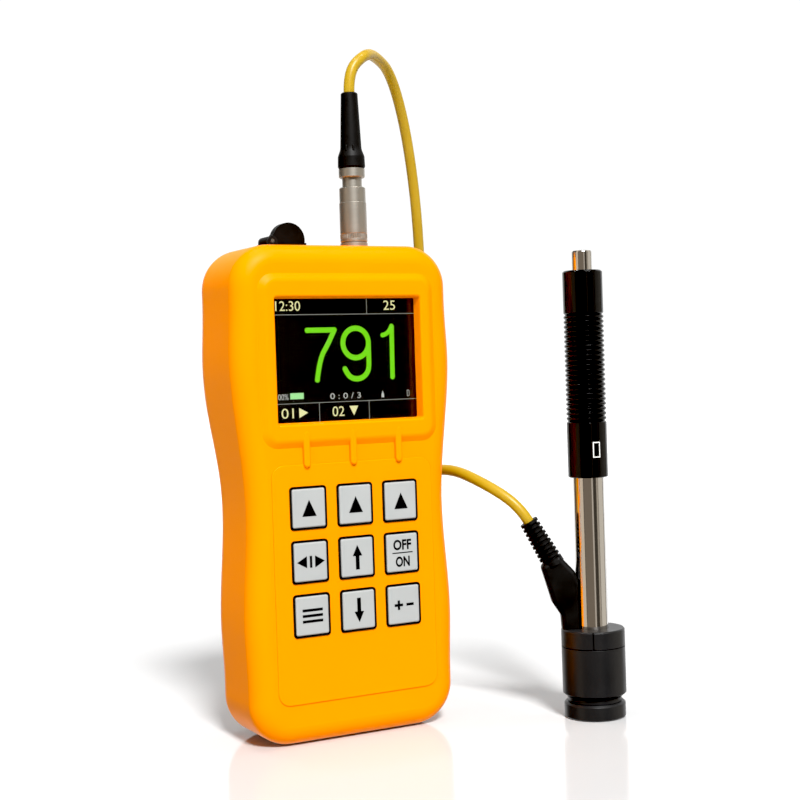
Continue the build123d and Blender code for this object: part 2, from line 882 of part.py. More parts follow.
# Display window: a flat clear lens behind the bezel opening.
with BuildPart() as display_window:
    with BuildSketch(depth(lens_back_y)):
        with Locations((0, window_level)):
            RectangleRounded(lens_width, lens_height, 1.5)
    extrude(amount=lens_thickness)
display_window.part.label = "display_window"
export_step(display_window.part, "parts/display_window.step")

# Display frame: a shallow tray on four legs that stand on the board.
tray_width = lens_width - 0.4
tray_height = lens_height - 0.2
with BuildPart() as display_frame:
    with BuildSketch(depth(frame_back_y)):
        with Locations((0, window_level)):
            RectangleRounded(tray_width, tray_height, 1.5)
    extrude(amount=display_frame_depth)
    with BuildSketch(depth(board_front_y - snug)):
        with Locations((0, window_level)):
            with GridLocations(lens_width - 2 * display_leg_inset, 2 * display_leg_drop, 2, 2):
                Circle(display_leg_radius)
    extrude(amount=board_front_y - snug - frame_back_y + 0.3)
    with BuildSketch(depth(frame_front_y)):
        with Locations((0, window_level)):
            Rectangle(tray_width - 2 * display_rim, tray_height - 2 * display_rim)
    extrude(amount=-display_pocket_depth, mode=Mode.SUBTRACT)
display_frame.part.label = "display_frame"
export_step(display_frame.part, "parts/display_frame.step")

with BuildPart() as display_panel:
    with BuildSketch(depth(frame_front_y + display_pocket_depth - snug)):
        with Locations((0, window_level)):
            Rectangle(tray_width - 2 * display_rim - 2 * slip, tray_height - 2 * display_rim - 2 * slip)
    extrude(amount=display_pocket_depth - 2 * snug)
display_panel.part.label = "display_panel"
export_step(display_panel.part, "parts/display_panel.step")

# Keypad mat: a rubber sheet behind the face with a collar through each opening.
with BuildPart() as keypad_mat:
    with BuildSketch(depth(mat_back_y)):
        with Locations((0, keypad_level)):
            RectangleRounded(mat_width, mat_height, 2)
    extrude(amount=mat_thickness)
    with BuildSketch(depth(mat_back_y)):
        with Locations((0, keypad_level)):
            with GridLocations(key_pitch_x, key_pitch_z, key_columns, key_rows):
                RectangleRounded(collar_width, collar_height, key_opening_corner - snug)
    extrude(amount=mat_back_y - collar_front_y)
    with BuildSketch(depth(mat_back_y + 1)):
        with Locations((0, keypad_level)):
            with GridLocations(key_pitch_x, key_pitch_z, key_columns, key_rows):
                RectangleRounded(keycap_width + 2 * slip, keycap_height + 2 * slip, 0.7)
    extrude(amount=mat_back_y - collar_front_y + 2, mode=Mode.SUBTRACT)
keypad_mat.part.label = "keypad_mat"
export_step(keypad_mat.part, "parts/keypad_mat.step")

# Keycaps: each a cap in its collar, a flange behind the mat and a stem that
# presses the switch on the board.
for row, z in enumerate(key_z):
    for column, x in enumerate(key_x):
        with BuildPart() as keycap:
            with BuildSketch(depth(flange_back_y)):
                with Locations((x, z)):
                    RectangleRounded(keycap_width, keycap_height, 0.6)
            extrude(amount=flange_back_y - key_front_y)
            cap_rim = keycap.faces().sort_by(Axis.Y)[0].edges()
            fillet(cap_rim, key_edge_radius)
            with BuildSketch(depth(flange_back_y)):
                with Locations((x, z)):
                    RectangleRounded(keycap_width + 2 * key_flange, keycap_height + 2 * key_flange, 1)
            extrude(amount=key_flange_thickness)
            with BuildSketch(depth(stem_back_y)):
                with Locations((x, z)):
                    Circle(key_stem_radius)
            extrude(amount=stem_back_y - flange_back_y + 0.2)
        key_name = f"key_{row + 1}_{column + 1}"
        keycap.part.label = key_name
        export_step(keycap.part, f"parts/{key_name}.step")

# Main board, with a tab that carries the data port.
with BuildPart() as main_board:
    with BuildSketch(depth(board_back_y)):
        with Locations((0, (board_low + board_high) / 2)):
            RectangleRounded(board_width, board_high - board_low, 2)
        with Locations(((board_tab_left + board_tab_right) / 2, (board_high + board_tab_top) / 2 - 2)):
            Rectangle(board_tab_right - board_tab_left, board_tab_top - board_high + 4)
        with Locations(*posts):
            Circle(board_hole, mode=Mode.SUBTRACT)
    extrude(amount=board_thickness)
main_board.part.label = "main_board"
export_step(main_board.part, "parts/main_board.step")

with BuildPart() as board_screws:
    with BuildSketch(depth(board_back_y + snug + board_screw_head)):
        with Locations(*posts):
            Circle(board_screw_head_radius)
    extrude(amount=board_screw_head)
    with BuildSketch(depth(board_back_y + snug)):
        with Locations(*posts):
            Circle(board_screw_radius)
    extrude(amount=board_screw_length)
board_screws.part.label = "board_screws"
export_step(board_screws.part, "parts/board_screws.step")

with BuildPart() as key_switches:
    with BuildSketch(depth(board_front_y - snug)):
        with Locations((0, keypad_level)):
            with GridLocations(key_pitch_x, key_pitch_z, key_columns, key_rows):
                Rectangle(switch_size, switch_size)
    extrude(amount=switch_body)
    with BuildSketch(depth(switch_front_y + 0.2)):
        with Locations((0, keypad_level)):
            with GridLocations(key_pitch_x, key_pitch_z, key_columns, key_rows):
                Circle(actuator_radius)
    extrude(amount=switch_front_y + 0.2 - actuator_front_y)
key_switches.part.label = "key_switches"
export_step(key_switches.part, "parts/key_switches.step")

# Components on the back of the board, above the battery bay.
with BuildPart() as board_chips:
    with BuildSketch(depth(board_back_y + snug)):
        with Locations((8, chip_level - 8)):
            Rectangle(14, 14)
        with Locations((-12, chip_level - 14)):
            Rectangle(9, 7)
        with Locations((-12, chip_level)):
            Rectangle(5, 6)
        with Locations((10, chip_level + 14)):
            Rectangle(10, 4.5)
    extrude(amount=-1.2)
    with BuildSketch(depth(board_back_y + snug)):
        with Locations((-22, chip_level + 6), (-22, chip_level + 15), (22, chip_level - 22)):
            Circle(3.1)
    extrude(amount=-5.4)
    with BuildSketch(depth(board_back_y + snug)):
        with Locations((-6, chip_level + 16)):
            Rectangle(11, 5)
    extrude(amount=-3.4)
board_chips.part.label = "board_chips"
export_step(board_chips.part, "parts/board_chips.step")

# Data port: a metal shell with a tongue inside, on the board's tab.
port_height = port_depth - 0.45
port_socket_y = board_back_y + snug + port_height / 2
with BuildPart() as usb_socket:
    with BuildSketch(level(port_socket_top)):
        with Locations((port_x, port_socket_y)):
            RectangleRounded(port_width - 0.4, port_height, port_corner - 0.2)
    extrude(amount=-port_socket_length)
    with BuildSketch(level(port_socket_top)):
        with Locations((port_x, port_socket_y)):
            RectangleRounded(port_width - 1.2, port_height - 0.8, port_corner - 0.5)
            Rectangle(port_width - 3.0, 0.8, mode=Mode.SUBTRACT)
    extrude(amount=-(port_socket_length - 1.5), mode=Mode.SUBTRACT)
usb_socket.part.label = "usb_socket"
export_step(usb_socket.part, "parts/usb_socket.step")

# Port cover: a bracket with two ears pegged into the top, a pin, and the cover
# with its upright tab and the short plug that fills the port.
inner_ear = hinge_half_width - ear_thickness
with BuildPart() as cover_anchor:
    with BuildSketch(level(unit_height)):
        with Locations((hinge_x - hinge_radius - 0.7 + anchor_length / 2, port_y)):
            RectangleRounded(anchor_length, 2 * hinge_half_width, peg_radius)
    extrude(amount=anchor_plate)
    for side in (-1, 1):
        with BuildSketch(depth(port_y + side * (inner_ear + ear_thickness / 2))):
            with Locations((hinge_x, hinge_z)):
                Circle(hinge_radius)
            with Locations((hinge_x, unit_height + hinge_rise / 2)):
                Rectangle(2 * hinge_radius, hinge_rise)
        extrude(amount=ear_thickness / 2, both=True)
    with BuildSketch(level(unit_height + 0.1)):
        with Locations(*pegs):
            Circle(peg_radius)
    extrude(amount=-(wall + 0.5))
    with BuildSketch(level(unit_height + anchor_plate - 0.3)):
        with Locations((hinge_x, port_y)):
            Rectangle(2 * hinge_radius + 0.6, 2 * inner_ear)
    extrude(amount=1, mode=Mode.SUBTRACT)
    with BuildSketch(level(unit_height + anchor_plate)):
        with Locations((hinge_x - 1 + anchor_length / 2, port_y)):
            Rectangle(anchor_length, 2 * inner_ear)
    extrude(amount=-anchor_plate, mode=Mode.SUBTRACT)
    with BuildSketch(depth(port_y)):
        with Locations((hinge_x, hinge_z)):
            Circle(hinge_pin_radius + 0.02)
    extrude(amount=hinge_half_width + 1, both=True, mode=Mode.SUBTRACT)
    with BuildSketch(depth(port_y)):
        with Locations((hinge_x, hinge_z)):
            Circle(hinge_radius + gap)
    extrude(amount=inner_ear, both=True, mode=Mode.SUBTRACT)
cover_anchor.part.label = "cover_anchor"
export_step(cover_anchor.part, "parts/cover_anchor.step")

with BuildPart() as cover_pin:
    with BuildSketch(depth(port_y)):
        with Locations((hinge_x, hinge_z)):
            Circle(hinge_pin_radius)
    extrude(amount=hinge_half_width - 0.1, both=True)
cover_pin.part.label = "cover_pin"
export_step(cover_pin.part, "parts/cover_pin.step")

cover_half_depth = inner_ear - slip
cover_bottom = unit_height + slip
with BuildPart() as port_cover:
    with BuildSketch(depth(port_y)):
        with Locations((hinge_x, hinge_z)):
            Circle(hinge_radius)
    extrude(amount=cover_half_depth, both=True)
    with BuildSketch(level(cover_bottom + 0.3)):
        with Locations(((hinge_x + hinge_radius / 2 + cover_end_x) / 2, port_y)):
            RectangleRounded(cover_end_x - hinge_x - hinge_radius / 2, 2 * cover_half_depth, 1)
    extrude(amount=cover_thickness - 0.3)
    with BuildSketch(level(cover_bottom)):
        with Locations(((hinge_x + 2.6 + cover_end_x) / 2, port_y)):
            RectangleRounded(cover_end_x - hinge_x - 2.6, 2 * cover_half_depth, 1)
    extrude(amount=0.4)
    with BuildSketch(depth(port_y)) as tab:
        with Locations((cover_tab_x, unit_height + cover_tab_rise)):
            Circle(cover_tab_radius)
        with Locations((cover_tab_x, cover_bottom + 0.3 - 10)):
            Rectangle(4 * cover_tab_radius, 20, mode=Mode.SUBTRACT)
    extrude(amount=cover_tab_thickness / 2, both=True)
    with BuildSketch(depth(port_y)):
        with BuildLine():
            Polyline(
                (hinge_x + 0.9 * hinge_radius, hinge_z),
                (cover_tab_x, unit_height + cover_tab_rise),
                (cover_tab_x - 0.58 * cover_tab_radius, unit_height + cover_tab_rise + 0.76 * cover_tab_radius),
                (hinge_x + 0.3 * hinge_radius, hinge_z + 0.8 * hinge_radius),
                close=True,
            )
        make_face()
    extrude(amount=cover_tab_thickness / 2 - 0.2, both=True)
    with BuildSketch(level(cover_bottom + 0.1)):
        with Locations((port_x, port_y)):
            RectangleRounded(port_width - 3 * slip, port_depth - 3 * slip, port_corner - slip)
    extrude(amount=-cover_plug_depth)
    with BuildSketch(depth(port_y)):
        with Locations((hinge_x, hinge_z)):
            Circle(hinge_pin_radius + slip)
    extrude(amount=hinge_half_width, both=True, mode=Mode.SUBTRACT)
port_cover.part.label = "port_cover"
export_step(port_cover.part, "parts/port_cover.step")

# Probe socket: a flanged barrel through the top, held by a hexagon nut inside.
socket_floor_z = socket_bottom + socket_floor
with BuildPart() as probe_socket:
    turned(
        probe_plane,
        probe_axis,
        [
            (0, socket_bottom),
            (socket_body_radius, socket_bottom),
            (socket_body_radius, socket_barrel_bottom),
            (socket_barrel_radius, socket_barrel_bottom),
            (socket_barrel_radius, unit_height),
            (socket_flange_radius, unit_height),
            (socket_flange_radius, unit_height + socket_flange - 0.3),
            (socket_flange_radius - 0.3, unit_height + socket_flange),
            (socket_cavity_radius, unit_height + socket_flange),
            (socket_cavity_radius, socket_floor_z),
            (0, socket_floor_z),
        ],
    )
probe_socket.part.label = "probe_socket"
export_step(probe_socket.part, "parts/probe_socket.step")

with BuildPart() as socket_nut:
    with BuildSketch(level(inner_top - slip - nut_thickness)):
        with Locations((probe_x, probe_y)):
            RegularPolygon(nut_across_flats / 2, 6, major_radius=False)
            Circle(socket_barrel_radius + snug, mode=Mode.SUBTRACT)
    extrude(amount=nut_thickness)
socket_nut.part.label = "socket_nut"
export_step(socket_nut.part, "parts/socket_nut.step")

insert_top = socket_floor_z + insert_height
with BuildPart() as socket_insert:
    with BuildSketch(level(socket_floor_z)):
        with Locations((probe_x, probe_y)):
            Circle(socket_cavity_radius - snug)
    extrude(amount=insert_height)
    with BuildSketch(level(insert_top)):
        with Locations((probe_x, probe_y)):
            with PolarLocations(pin_circle, 4):
                Circle(pin_radius + slip)
    extrude(amount=-(insert_height - 1), mode=Mode.SUBTRACT)
socket_insert.part.label = "socket_insert"
export_step(socket_insert.part, "parts/socket_insert.step")

# Plug: body, contact insert, locking sleeve, back nut and strain relief.
insert_bore = nose_radius - 0.5
with BuildPart() as plug_body:
    turned(
        probe_plane,
        probe_axis,
        [
            (insert_bore, nose_bottom),
            (nose_radius, nose_bottom),
            (nose_radius, neck_bottom),
            (neck_radius, neck_bottom),
            (neck_radius, plug_nut_bottom),
            (plug_thread_radius, plug_nut_bottom),
            (plug_thread_radius, plug_nut_top - 0.2),
            (cable_diameter / 2, plug_nut_top - 0.2),
            (cable_diameter / 2, neck_bottom + 4),
            (insert_bore, neck_bottom + 3),
        ],
    )
plug_body.part.label = "plug_body"
export_step(plug_body.part, "parts/plug_body.step")

with BuildPart() as plug_insert:
    with BuildSketch(level(nose_bottom + 0.2)):
        with Locations((probe_x, probe_y)):
            Circle(insert_bore - snug)
    extrude(amount=5)
    with BuildSketch(level(nose_bottom + 1)):
        with Locations((probe_x, probe_y)):
            with PolarLocations(pin_circle, 4):
                Circle(pin_radius)
    extrude(amount=-(nose_bottom + 1 - insert_top + 1.8))
plug_insert.part.label = "plug_insert"
export_step(plug_insert.part, "parts/plug_insert.step")

with BuildPart() as plug_sleeve:
    turned(
        probe_plane,
        probe_axis,
        [
            (neck_radius + slip, sleeve_bottom),
            (sleeve_radius - 0.2, sleeve_bottom),
            (sleeve_radius, sleeve_bottom + 0.2),
            (sleeve_radius, sleeve_bottom + 0.9),
            (sleeve_step_radius, sleeve_bottom + 1.05),
            (sleeve_step_radius, sleeve_bottom + 2.6),
            (sleeve_radius, sleeve_bottom + 2.75),
            (sleeve_radius, sleeve_step),
            (sleeve_step_radius, sleeve_step + 0.15),
            (sleeve_step_radius, sleeve_top - 0.3),
            (sleeve_step_radius - 0.3, sleeve_top),
            (neck_radius + slip, sleeve_top),
        ],
    )
plug_sleeve.part.label = "plug_sleeve"
export_step(plug_sleeve.part, "parts/plug_sleeve.step")

with BuildPart() as plug_nut:
    turned(
        probe_plane,
        probe_axis,
        [
            (plug_thread_radius + snug, plug_nut_bottom),
            (plug_nut_radius - 0.3, plug_nut_bottom),
            (plug_nut_radius, plug_nut_bottom + 0.3),
            (plug_nut_radius, plug_nut_top - 0.3),
            (plug_nut_radius - 0.3, plug_nut_top),
            (plug_thread_radius + snug, plug_nut_top),
        ],
    )
plug_nut.part.label = "plug_nut"
export_step(plug_nut.part, "parts/plug_nut.step")

with BuildPart() as plug_relief:
    with BuildSketch(probe_plane):
        with BuildLine():
            Polyline(
                (0, plug_nut_top),
                (relief_foot_radius, plug_nut_top),
                (relief_bulge_radius, plug_nut_top + 0.02 * plug_relief_length),
                (relief_bulge_radius - 0.1, plug_nut_top + 0.15 * plug_relief_length),
            )
            Spline(
                (relief_bulge_radius - 0.1, plug_nut_top + 0.15 * plug_relief_length),
                (relief_waist_radius, plug_nut_top + 0.28 * plug_relief_length),
                tangents=[(-0.2, 1), (-0.04, 1)],
            )
            Polyline(
                (relief_waist_radius, plug_nut_top + 0.28 * plug_relief_length),
                (relief_tip_radius, relief_top - 0.3),
                (relief_tip_radius - 0.3, relief_top),
                (0, relief_top),
                (0, plug_nut_top),
            )
        make_face()
    revolve(axis=probe_axis)
plug_relief.part.label = "plug_relief"
export_step(plug_relief.part, "parts/plug_relief.step")

# Support ring: the knurled foot that the impact device stands on.
with BuildPart() as support_ring:
    turned(
        device_plane,
        device_axis,
        [
            (ring_bore, 0),
            (ring_radius - 0.3, 0),
            (ring_radius, 0.3),
            (ring_radius, ring_height - ring_chamfer),
            (ring_radius - ring_chamfer, ring_height),
            (collar_radius + snug, ring_height),
            (collar_radius + snug, ring_floor),
            (ring_bore, ring_floor),
        ],
    )
support_ring.part.label = "support_ring"
export_step(support_ring.part, "parts/support_ring.step")

# Coil housing: a turned cup round the guide tube, with the collar that the
# support ring screws onto.
neck_top = ring_height + housing_neck
with BuildPart() as coil_housing:
    turned(
        device_plane,
        device_axis,
        [
            (guide_radius + snug, ring_floor + snug),
            (collar_radius, ring_floor + snug),
            (collar_radius, ring_height + snug),
            (housing_neck_radius, ring_height + snug),
            (housing_neck_radius, neck_top),
            (housing_radius, neck_top + housing_chamfer),
            (housing_radius, housing_top),
            (housing_bore, housing_top),
            (housing_bore, housing_plate_top),
            (guide_radius + snug, housing_plate_top),
        ],
    )
coil_housing.part.label = "coil_housing"
export_step(coil_housing.part, "parts/coil_housing.step")

# Housing cap: closes the coil housing and takes the neck of the cable boot.
boot_x = cos(radians(boot_heading))
boot_y = sin(radians(boot_heading))
boot_neck = (device_x + boot_neck_s * boot_x, device_y + boot_neck_s * boot_y)
slit_plane = Plane(origin=(device_x, device_y, housing_top), x_dir=(-0.579, -0.815, 0), z_dir=(0, 0, 1))
with BuildPart() as housing_cap:
    turned(
        device_plane,
        device_axis,
        [
            (guide_radius + snug, cap_top),
            (housing_radius - 0.4, cap_top),
            (housing_radius, cap_top - 0.4),
            (housing_radius, housing_top + 0.3),
            (housing_radius - 0.25, housing_top + snug),
            (housing_bore - slip, housing_top + snug),
            (housing_bore - slip, housing_top - cap_spigot),
            (housing_bore - slip - cap_spigot_wall, housing_top - cap_spigot),
            (housing_bore - slip - cap_spigot_wall, cap_top - cap_plate),
            (guide_radius + snug, cap_top - cap_plate),
        ],
    )
    with BuildSketch(level(housing_top - cap_spigot - 1)):
        with Locations(boot_neck):
            Circle(boot_neck_radius + snug)
    extrude(amount=cap_top - housing_top + cap_spigot + 2, mode=Mode.SUBTRACT)
    with BuildSketch(slit_plane):
        with Locations((housing_radius, 0)):
            Rectangle(1.2, cap_slit)
    extrude(amount=cap_top - housing_top, mode=Mode.SUBTRACT)
housing_cap.part.label = "housing_cap"
export_step(housing_cap.part, "parts/housing_cap.step")

# Pickup coil on its bobbin, inside the coil housing.
with BuildPart() as coil_bobbin:
    turned(
        device_plane,
        device_axis,
        [
            (guide_radius + snug, bobbin_bottom),
            (housing_bore - 2 * slip, bobbin_bottom),
            (housing_bore - 2 * slip, bobbin_bottom + bobbin_flange),
            (bobbin_core, bobbin_bottom + bobbin_flange),
            (bobbin_core, bobbin_top - bobbin_flange),
            (housing_bore - 2 * slip, bobbin_top - bobbin_flange),
            (housing_bore - 2 * slip, bobbin_top),
            (guide_radius + snug, bobbin_top),
        ],
    )
coil_bobbin.part.label = "coil_bobbin"
export_step(coil_bobbin.part, "parts/coil_bobbin.step")

with BuildPart() as pickup_coil:
    turned(
        device_plane,
        device_axis,
        [
            (bobbin_core + snug, bobbin_bottom + bobbin_flange + snug),
            (winding_radius, bobbin_bottom + bobbin_flange + snug),
            (winding_radius, bobbin_top - bobbin_flange - snug),
            (bobbin_core + snug, bobbin_top - bobbin_flange - snug),
        ],
    )
pickup_coil.part.label = "pickup_coil"
export_step(pickup_coil.part, "parts/pickup_coil.step")

# Guide tube: the polished tube that the loading tube slides on.
with BuildPart() as guide_tube:
    turned(
        device_plane,
        device_axis,
        [
            (guide_bore, guide_bottom),
            (guide_radius, guide_bottom),
            (guide_radius, guide_top - 0.4),
            (guide_radius - 0.4, guide_top),
            (guide_lip_bore, guide_top),
            (guide_lip_bore, guide_top - guide_lip),
            (guide_bore, guide_top - guide_lip),
        ],
    )
guide_tube.part.label = "guide_tube"
export_step(guide_tube.part, "parts/guide_tube.step")

# Loading tube: plain at both ends, with turned grip grooves between.
groove_profile = [(loading_radius, groove_low)]
for turn in range(groove_count):
    start = groove_low + turn * groove_pitch
    groove_profile.append((loading_radius, start + 0.15 * groove_pitch))
    groove_profile.append((loading_radius - groove_depth, start + 0.5 * groove_pitch))
    groove_profile.append((loading_radius, start + 0.85 * groove_pitch))
with BuildPart() as loading_tube:
    turned(
        device_plane,
        device_axis,
        [
            (guide_radius + gap, loading_bottom + 0.2),
            (guide_radius + gap + 0.2, loading_bottom),
            (loading_radius - 0.3, loading_bottom),
            (loading_radius, loading_bottom + 0.3),
            *groove_profile[1:],
            (loading_radius, loading_top - 0.5),
            (loading_radius - 0.5, loading_top),
            (button_radius + gap, loading_top),
            (button_radius + gap, plate_bottom),
            (loading_bore, plate_bottom),
            (loading_bore, loading_bottom + loading_guide_length),
            (guide_radius + gap, loading_bottom + loading_guide_length),
        ],
    )
loading_tube.part.label = "loading_tube"
export_step(loading_tube.part, "parts/loading_tube.step")

# Catch chuck: the flange that the loading spring lifts, its hollow rod, and the
# jaws at the foot that take the knob of the impact body.
with BuildPart() as catch_chuck:
    turned(
        device_plane,
        device_axis,
        [
            (rod_bore, chuck_flange_top),
            (loading_bore - snug, chuck_flange_top),
            (loading_bore - snug, chuck_flange_bottom),
            (rod_radius, chuck_flange_bottom),
            (rod_radius, chuck_top),
            (chuck_radius, chuck_top - 0.7),
            (chuck_radius, chuck_bottom + 0.4),
            (chuck_radius - 0.4, chuck_bottom),
            (chuck_mouth, chuck_bottom),
            (chuck_mouth, chuck_bottom + 0.8),
            (chuck_cavity, chuck_bottom + 1.0),
            (chuck_cavity, release_rod_bottom - 1.0),
            (rod_bore, release_rod_bottom - 0.4),
        ],
    )
catch_chuck.part.label = "catch_chuck"
export_step(catch_chuck.part, "parts/catch_chuck.step")

# Release button with the rod that opens the jaws.
with BuildPart() as release_button:
    turned(
        device_plane,
        device_axis,
        [
            (0, button_top),
            (button_radius - 0.6, button_top),
            (button_radius - 0.15, button_top - 0.2),
            (button_radius, button_top - 0.6),
            (button_radius, button_flange_top),
            (button_flange_radius, button_flange_top),
            (button_flange_radius, button_flange_bottom),
            (release_rod_radius, button_flange_bottom),
            (release_rod_radius, release_rod_bottom + button_travel),
            (0, release_rod_bottom + button_travel),
        ],
    )
release_button.part.label = "release_button"
export_step(release_button.part, "parts/release_button.step")

# Springs of the impact device.
loading_spring_solid = coil_spring(
    device_x,
    device_y,
    guide_top + snug,
    chuck_flange_bottom - snug,
    loading_spring_radius,
    loading_spring_wire,
    loading_spring_turns,
)
with BuildPart() as loading_spring:
    add(loading_spring_solid)
loading_spring.part.label = "loading_spring"
export_step(loading_spring.part, "parts/loading_spring.step")

release_spring_solid = coil_spring(
    device_x,
    device_y,
    chuck_flange_top + snug,
    button_flange_bottom - snug,
    release_spring_radius,
    release_spring_wire,
    release_spring_turns,
)
with BuildPart() as release_spring:
    add(release_spring_solid)
release_spring.part.label = "release_spring"
export_step(release_spring.part, "parts/release_spring.step")

impact_spring_solid = coil_spring(
    device_x,
    device_y,
    impact_top + snug,
    guide_top - guide_lip - snug,
    impact_spring_radius,
    impact_spring_wire,
    impact_spring_turns,
)
with BuildPart() as impact_spring:
    add(impact_spring_solid)
impact_spring.part.label = "impact_spring"
export_step(impact_spring.part, "parts/impact_spring.step")

# Impact body: the striker with its knob, magnet, ball holder and ball.
with BuildPart() as impact_body:
    turned(
        device_plane,
        device_axis,
        [
            (0, holder_top + snug),
            (impact_radius, holder_top + snug),
            (impact_radius, impact_top - 0.4),
            (impact_radius - 0.4, impact_top),
            (impact_stem_radius, impact_top),
            (impact_stem_radius, impact_knob_bottom),
            (impact_knob_radius, impact_knob_bottom + 0.3),
            (impact_knob_radius, impact_knob_top - 0.5),
            (impact_knob_radius - 0.5, impact_knob_top),
            (0, impact_knob_top),
        ],
    )
    with BuildSketch(level(magnet_low - snug)):
        with Locations((device_x, device_y)):
            Circle(magnet_radius + snug)
    extrude(amount=magnet_high - magnet_low + 2 * snug, mode=Mode.SUBTRACT)
impact_body.part.label = "impact_body"
export_step(impact_body.part, "parts/impact_body.step")

with BuildPart() as impact_magnet:
    with BuildSketch(level(magnet_low)):
        with Locations((device_x, device_y)):
            Circle(magnet_radius)
    extrude(amount=magnet_high - magnet_low)
impact_magnet.part.label = "impact_magnet"
export_step(impact_magnet.part, "parts/impact_magnet.step")

holder_bottom = ball_level + 0.2
with BuildPart() as ball_holder:
    turned(
        device_plane,
        device_axis,
        [
            (0, holder_bottom),
            (ball_radius + 0.25, holder_bottom),
            (impact_radius - 0.3, impact_bottom),
            (impact_radius - 0.3, holder_top),
            (0, holder_top),
        ],
    )
    with Locations((device_x, device_y, ball_level)):
        Sphere(ball_radius + 0.02, mode=Mode.SUBTRACT)
ball_holder.part.label = "ball_holder"
export_step(ball_holder.part, "parts/ball_holder.step")

with BuildPart() as impact_ball:
    with Locations((device_x, device_y, ball_level)):
        Sphere(ball_radius)
impact_ball.part.label = "impact_ball"
export_step(impact_ball.part, "parts/impact_ball.step")

# Cable boot: a soft elbow that leaves the housing cap beside the guide tube and
# turns the cable away from it, with a ribbed strain relief.
boot_plane = Plane(origin=(device_x, device_y, 0), x_dir=(boot_x, boot_y, 0), z_dir=(boot_y, -boot_x, 0))
tilt = radians(boot_relief_tilt)
relief_x = sin(tilt)
relief_z = cos(tilt)
tip_point = (
    device_x + boot_relief_tip[0] * boot_x,
    device_y + boot_relief_tip[0] * boot_y,
    boot_relief_tip[1],
)
relief_direction = (boot_x * relief_x, boot_y * relief_x, relief_z)
relief_plane = Plane(
    origin=tip_point,
    x_dir=(boot_x * relief_z, boot_y * relief_z, -relief_x),
    z_dir=(boot_y, -boot_x, 0),
)
relief_axis = Axis(tip_point, relief_direction)
relief_slope = (boot_relief_root_radius - boot_relief_tip_radius) / boot_relief_length
relief_profile = [(0, 0), (boot_relief_tip_radius, 0)]
for rib in range(boot_rib_count):
    start = 0.5 + rib * boot_rib_pitch
    for step, sink in ((0.45, 0), (0.6, boot_slot_depth), (1.15, boot_slot_depth), (1.3, 0)):
        along = start + step
        relief_profile.append((boot_relief_tip_radius + relief_slope * along - sink, -along))
relief_profile.append((boot_relief_root_radius, -boot_relief_length))
relief_profile.append((0, -boot_relief_length))
with BuildPart() as cable_boot:
    with BuildSketch(boot_plane):
        with BuildLine():
            Polyline(*boot_points, close=True)
        make_face()
    extrude(amount=boot_half_thickness, both=True)
    outer_edges = [
        e
        for e in cable_boot.edges()
        if e.center().Z > boot_points[0][1] + 0.1
        and (e.center() - Vector(device_x, device_y, e.center().Z)).length > guide_radius + 0.9
    ]
    fillet(outer_edges, boot_edge_radius)
    turned(relief_plane, relief_axis, relief_profile)
    with BuildSketch(level(cap_top + 0.1)):
        with Locations(boot_neck):
            Circle(boot_neck_radius)
    extrude(amount=-cap_plate)
    with BuildSketch(level(housing_top)):
        with Locations((device_x, device_y)):
            Circle(guide_radius + snug)
    extrude(amount=guide_top - housing_top, mode=Mode.SUBTRACT)
cable_boot.part.label = "cable_boot"
export_step(cable_boot.part, "parts/cable_boot.step")

# Cable: from the plug over and down behind the unit, the coil of its put-away
# length with a tie round it, and from the coil up and over to the boot.
plug_exit = (probe_x, probe_y, relief_top)
plug_lead = (probe_x, probe_y, relief_top + upper_lead)
boot_lead = tuple(p + lower_lead * d for p, d in zip(tip_point, relief_direction))
upper_cable = cable_tube([plug_exit, plug_lead, *upper_points], "upper cable")
lower_cable = cable_tube([tip_point, boot_lead, *lower_points], "lower cable")
with BuildPart() as cable_upper:
    add(upper_cable)
cable_upper.part.label = "cable_upper"
export_step(cable_upper.part, "parts/cable_upper.step")

with BuildPart() as cable_lower:
    add(lower_cable)
cable_lower.part.label = "cable_lower"
export_step(cable_lower.part, "parts/cable_lower.step")

coil_section = coil_strands * cable_diameter
coil_level = tie_thickness + coil_section / 2
coil_plane = Plane(origin=(coil_x, coil_y, 0), x_dir=(1, 0, 0), z_dir=(0, -1, 0))
coil_axis = Axis((coil_x, coil_y, 0), (0, 0, 1))
with BuildPart() as cable_coil:
    with BuildSketch(coil_plane):
        with Locations((coil_radius, coil_level)):
            RectangleRounded(coil_section, coil_section, cable_diameter / 2)
    revolve(axis=coil_axis)
cable_coil.part.label = "cable_coil"
export_step(cable_coil.part, "parts/cable_coil.step")

tie_x = cos(radians(tie_heading))
tie_y = sin(radians(tie_heading))
tie_plane = Plane(origin=(coil_x, coil_y, 0), x_dir=(tie_x, tie_y, 0), z_dir=(tie_y, -tie_x, 0))
with BuildPart() as coil_tie:
    with BuildSketch(tie_plane):
        with Locations((coil_radius, coil_level)):
            RectangleRounded(
                coil_section + 2 * tie_thickness,
                coil_section + 2 * tie_thickness,
                cable_diameter / 2 + tie_thickness,
            )
            RectangleRounded(coil_section, coil_section, cable_diameter / 2, mode=Mode.SUBTRACT)
    revolve(axis=coil_axis, revolution_arc=tie_angle)
coil_tie.part.label = "coil_tie"
export_step(coil_tie.part, "parts/coil_tie.step")

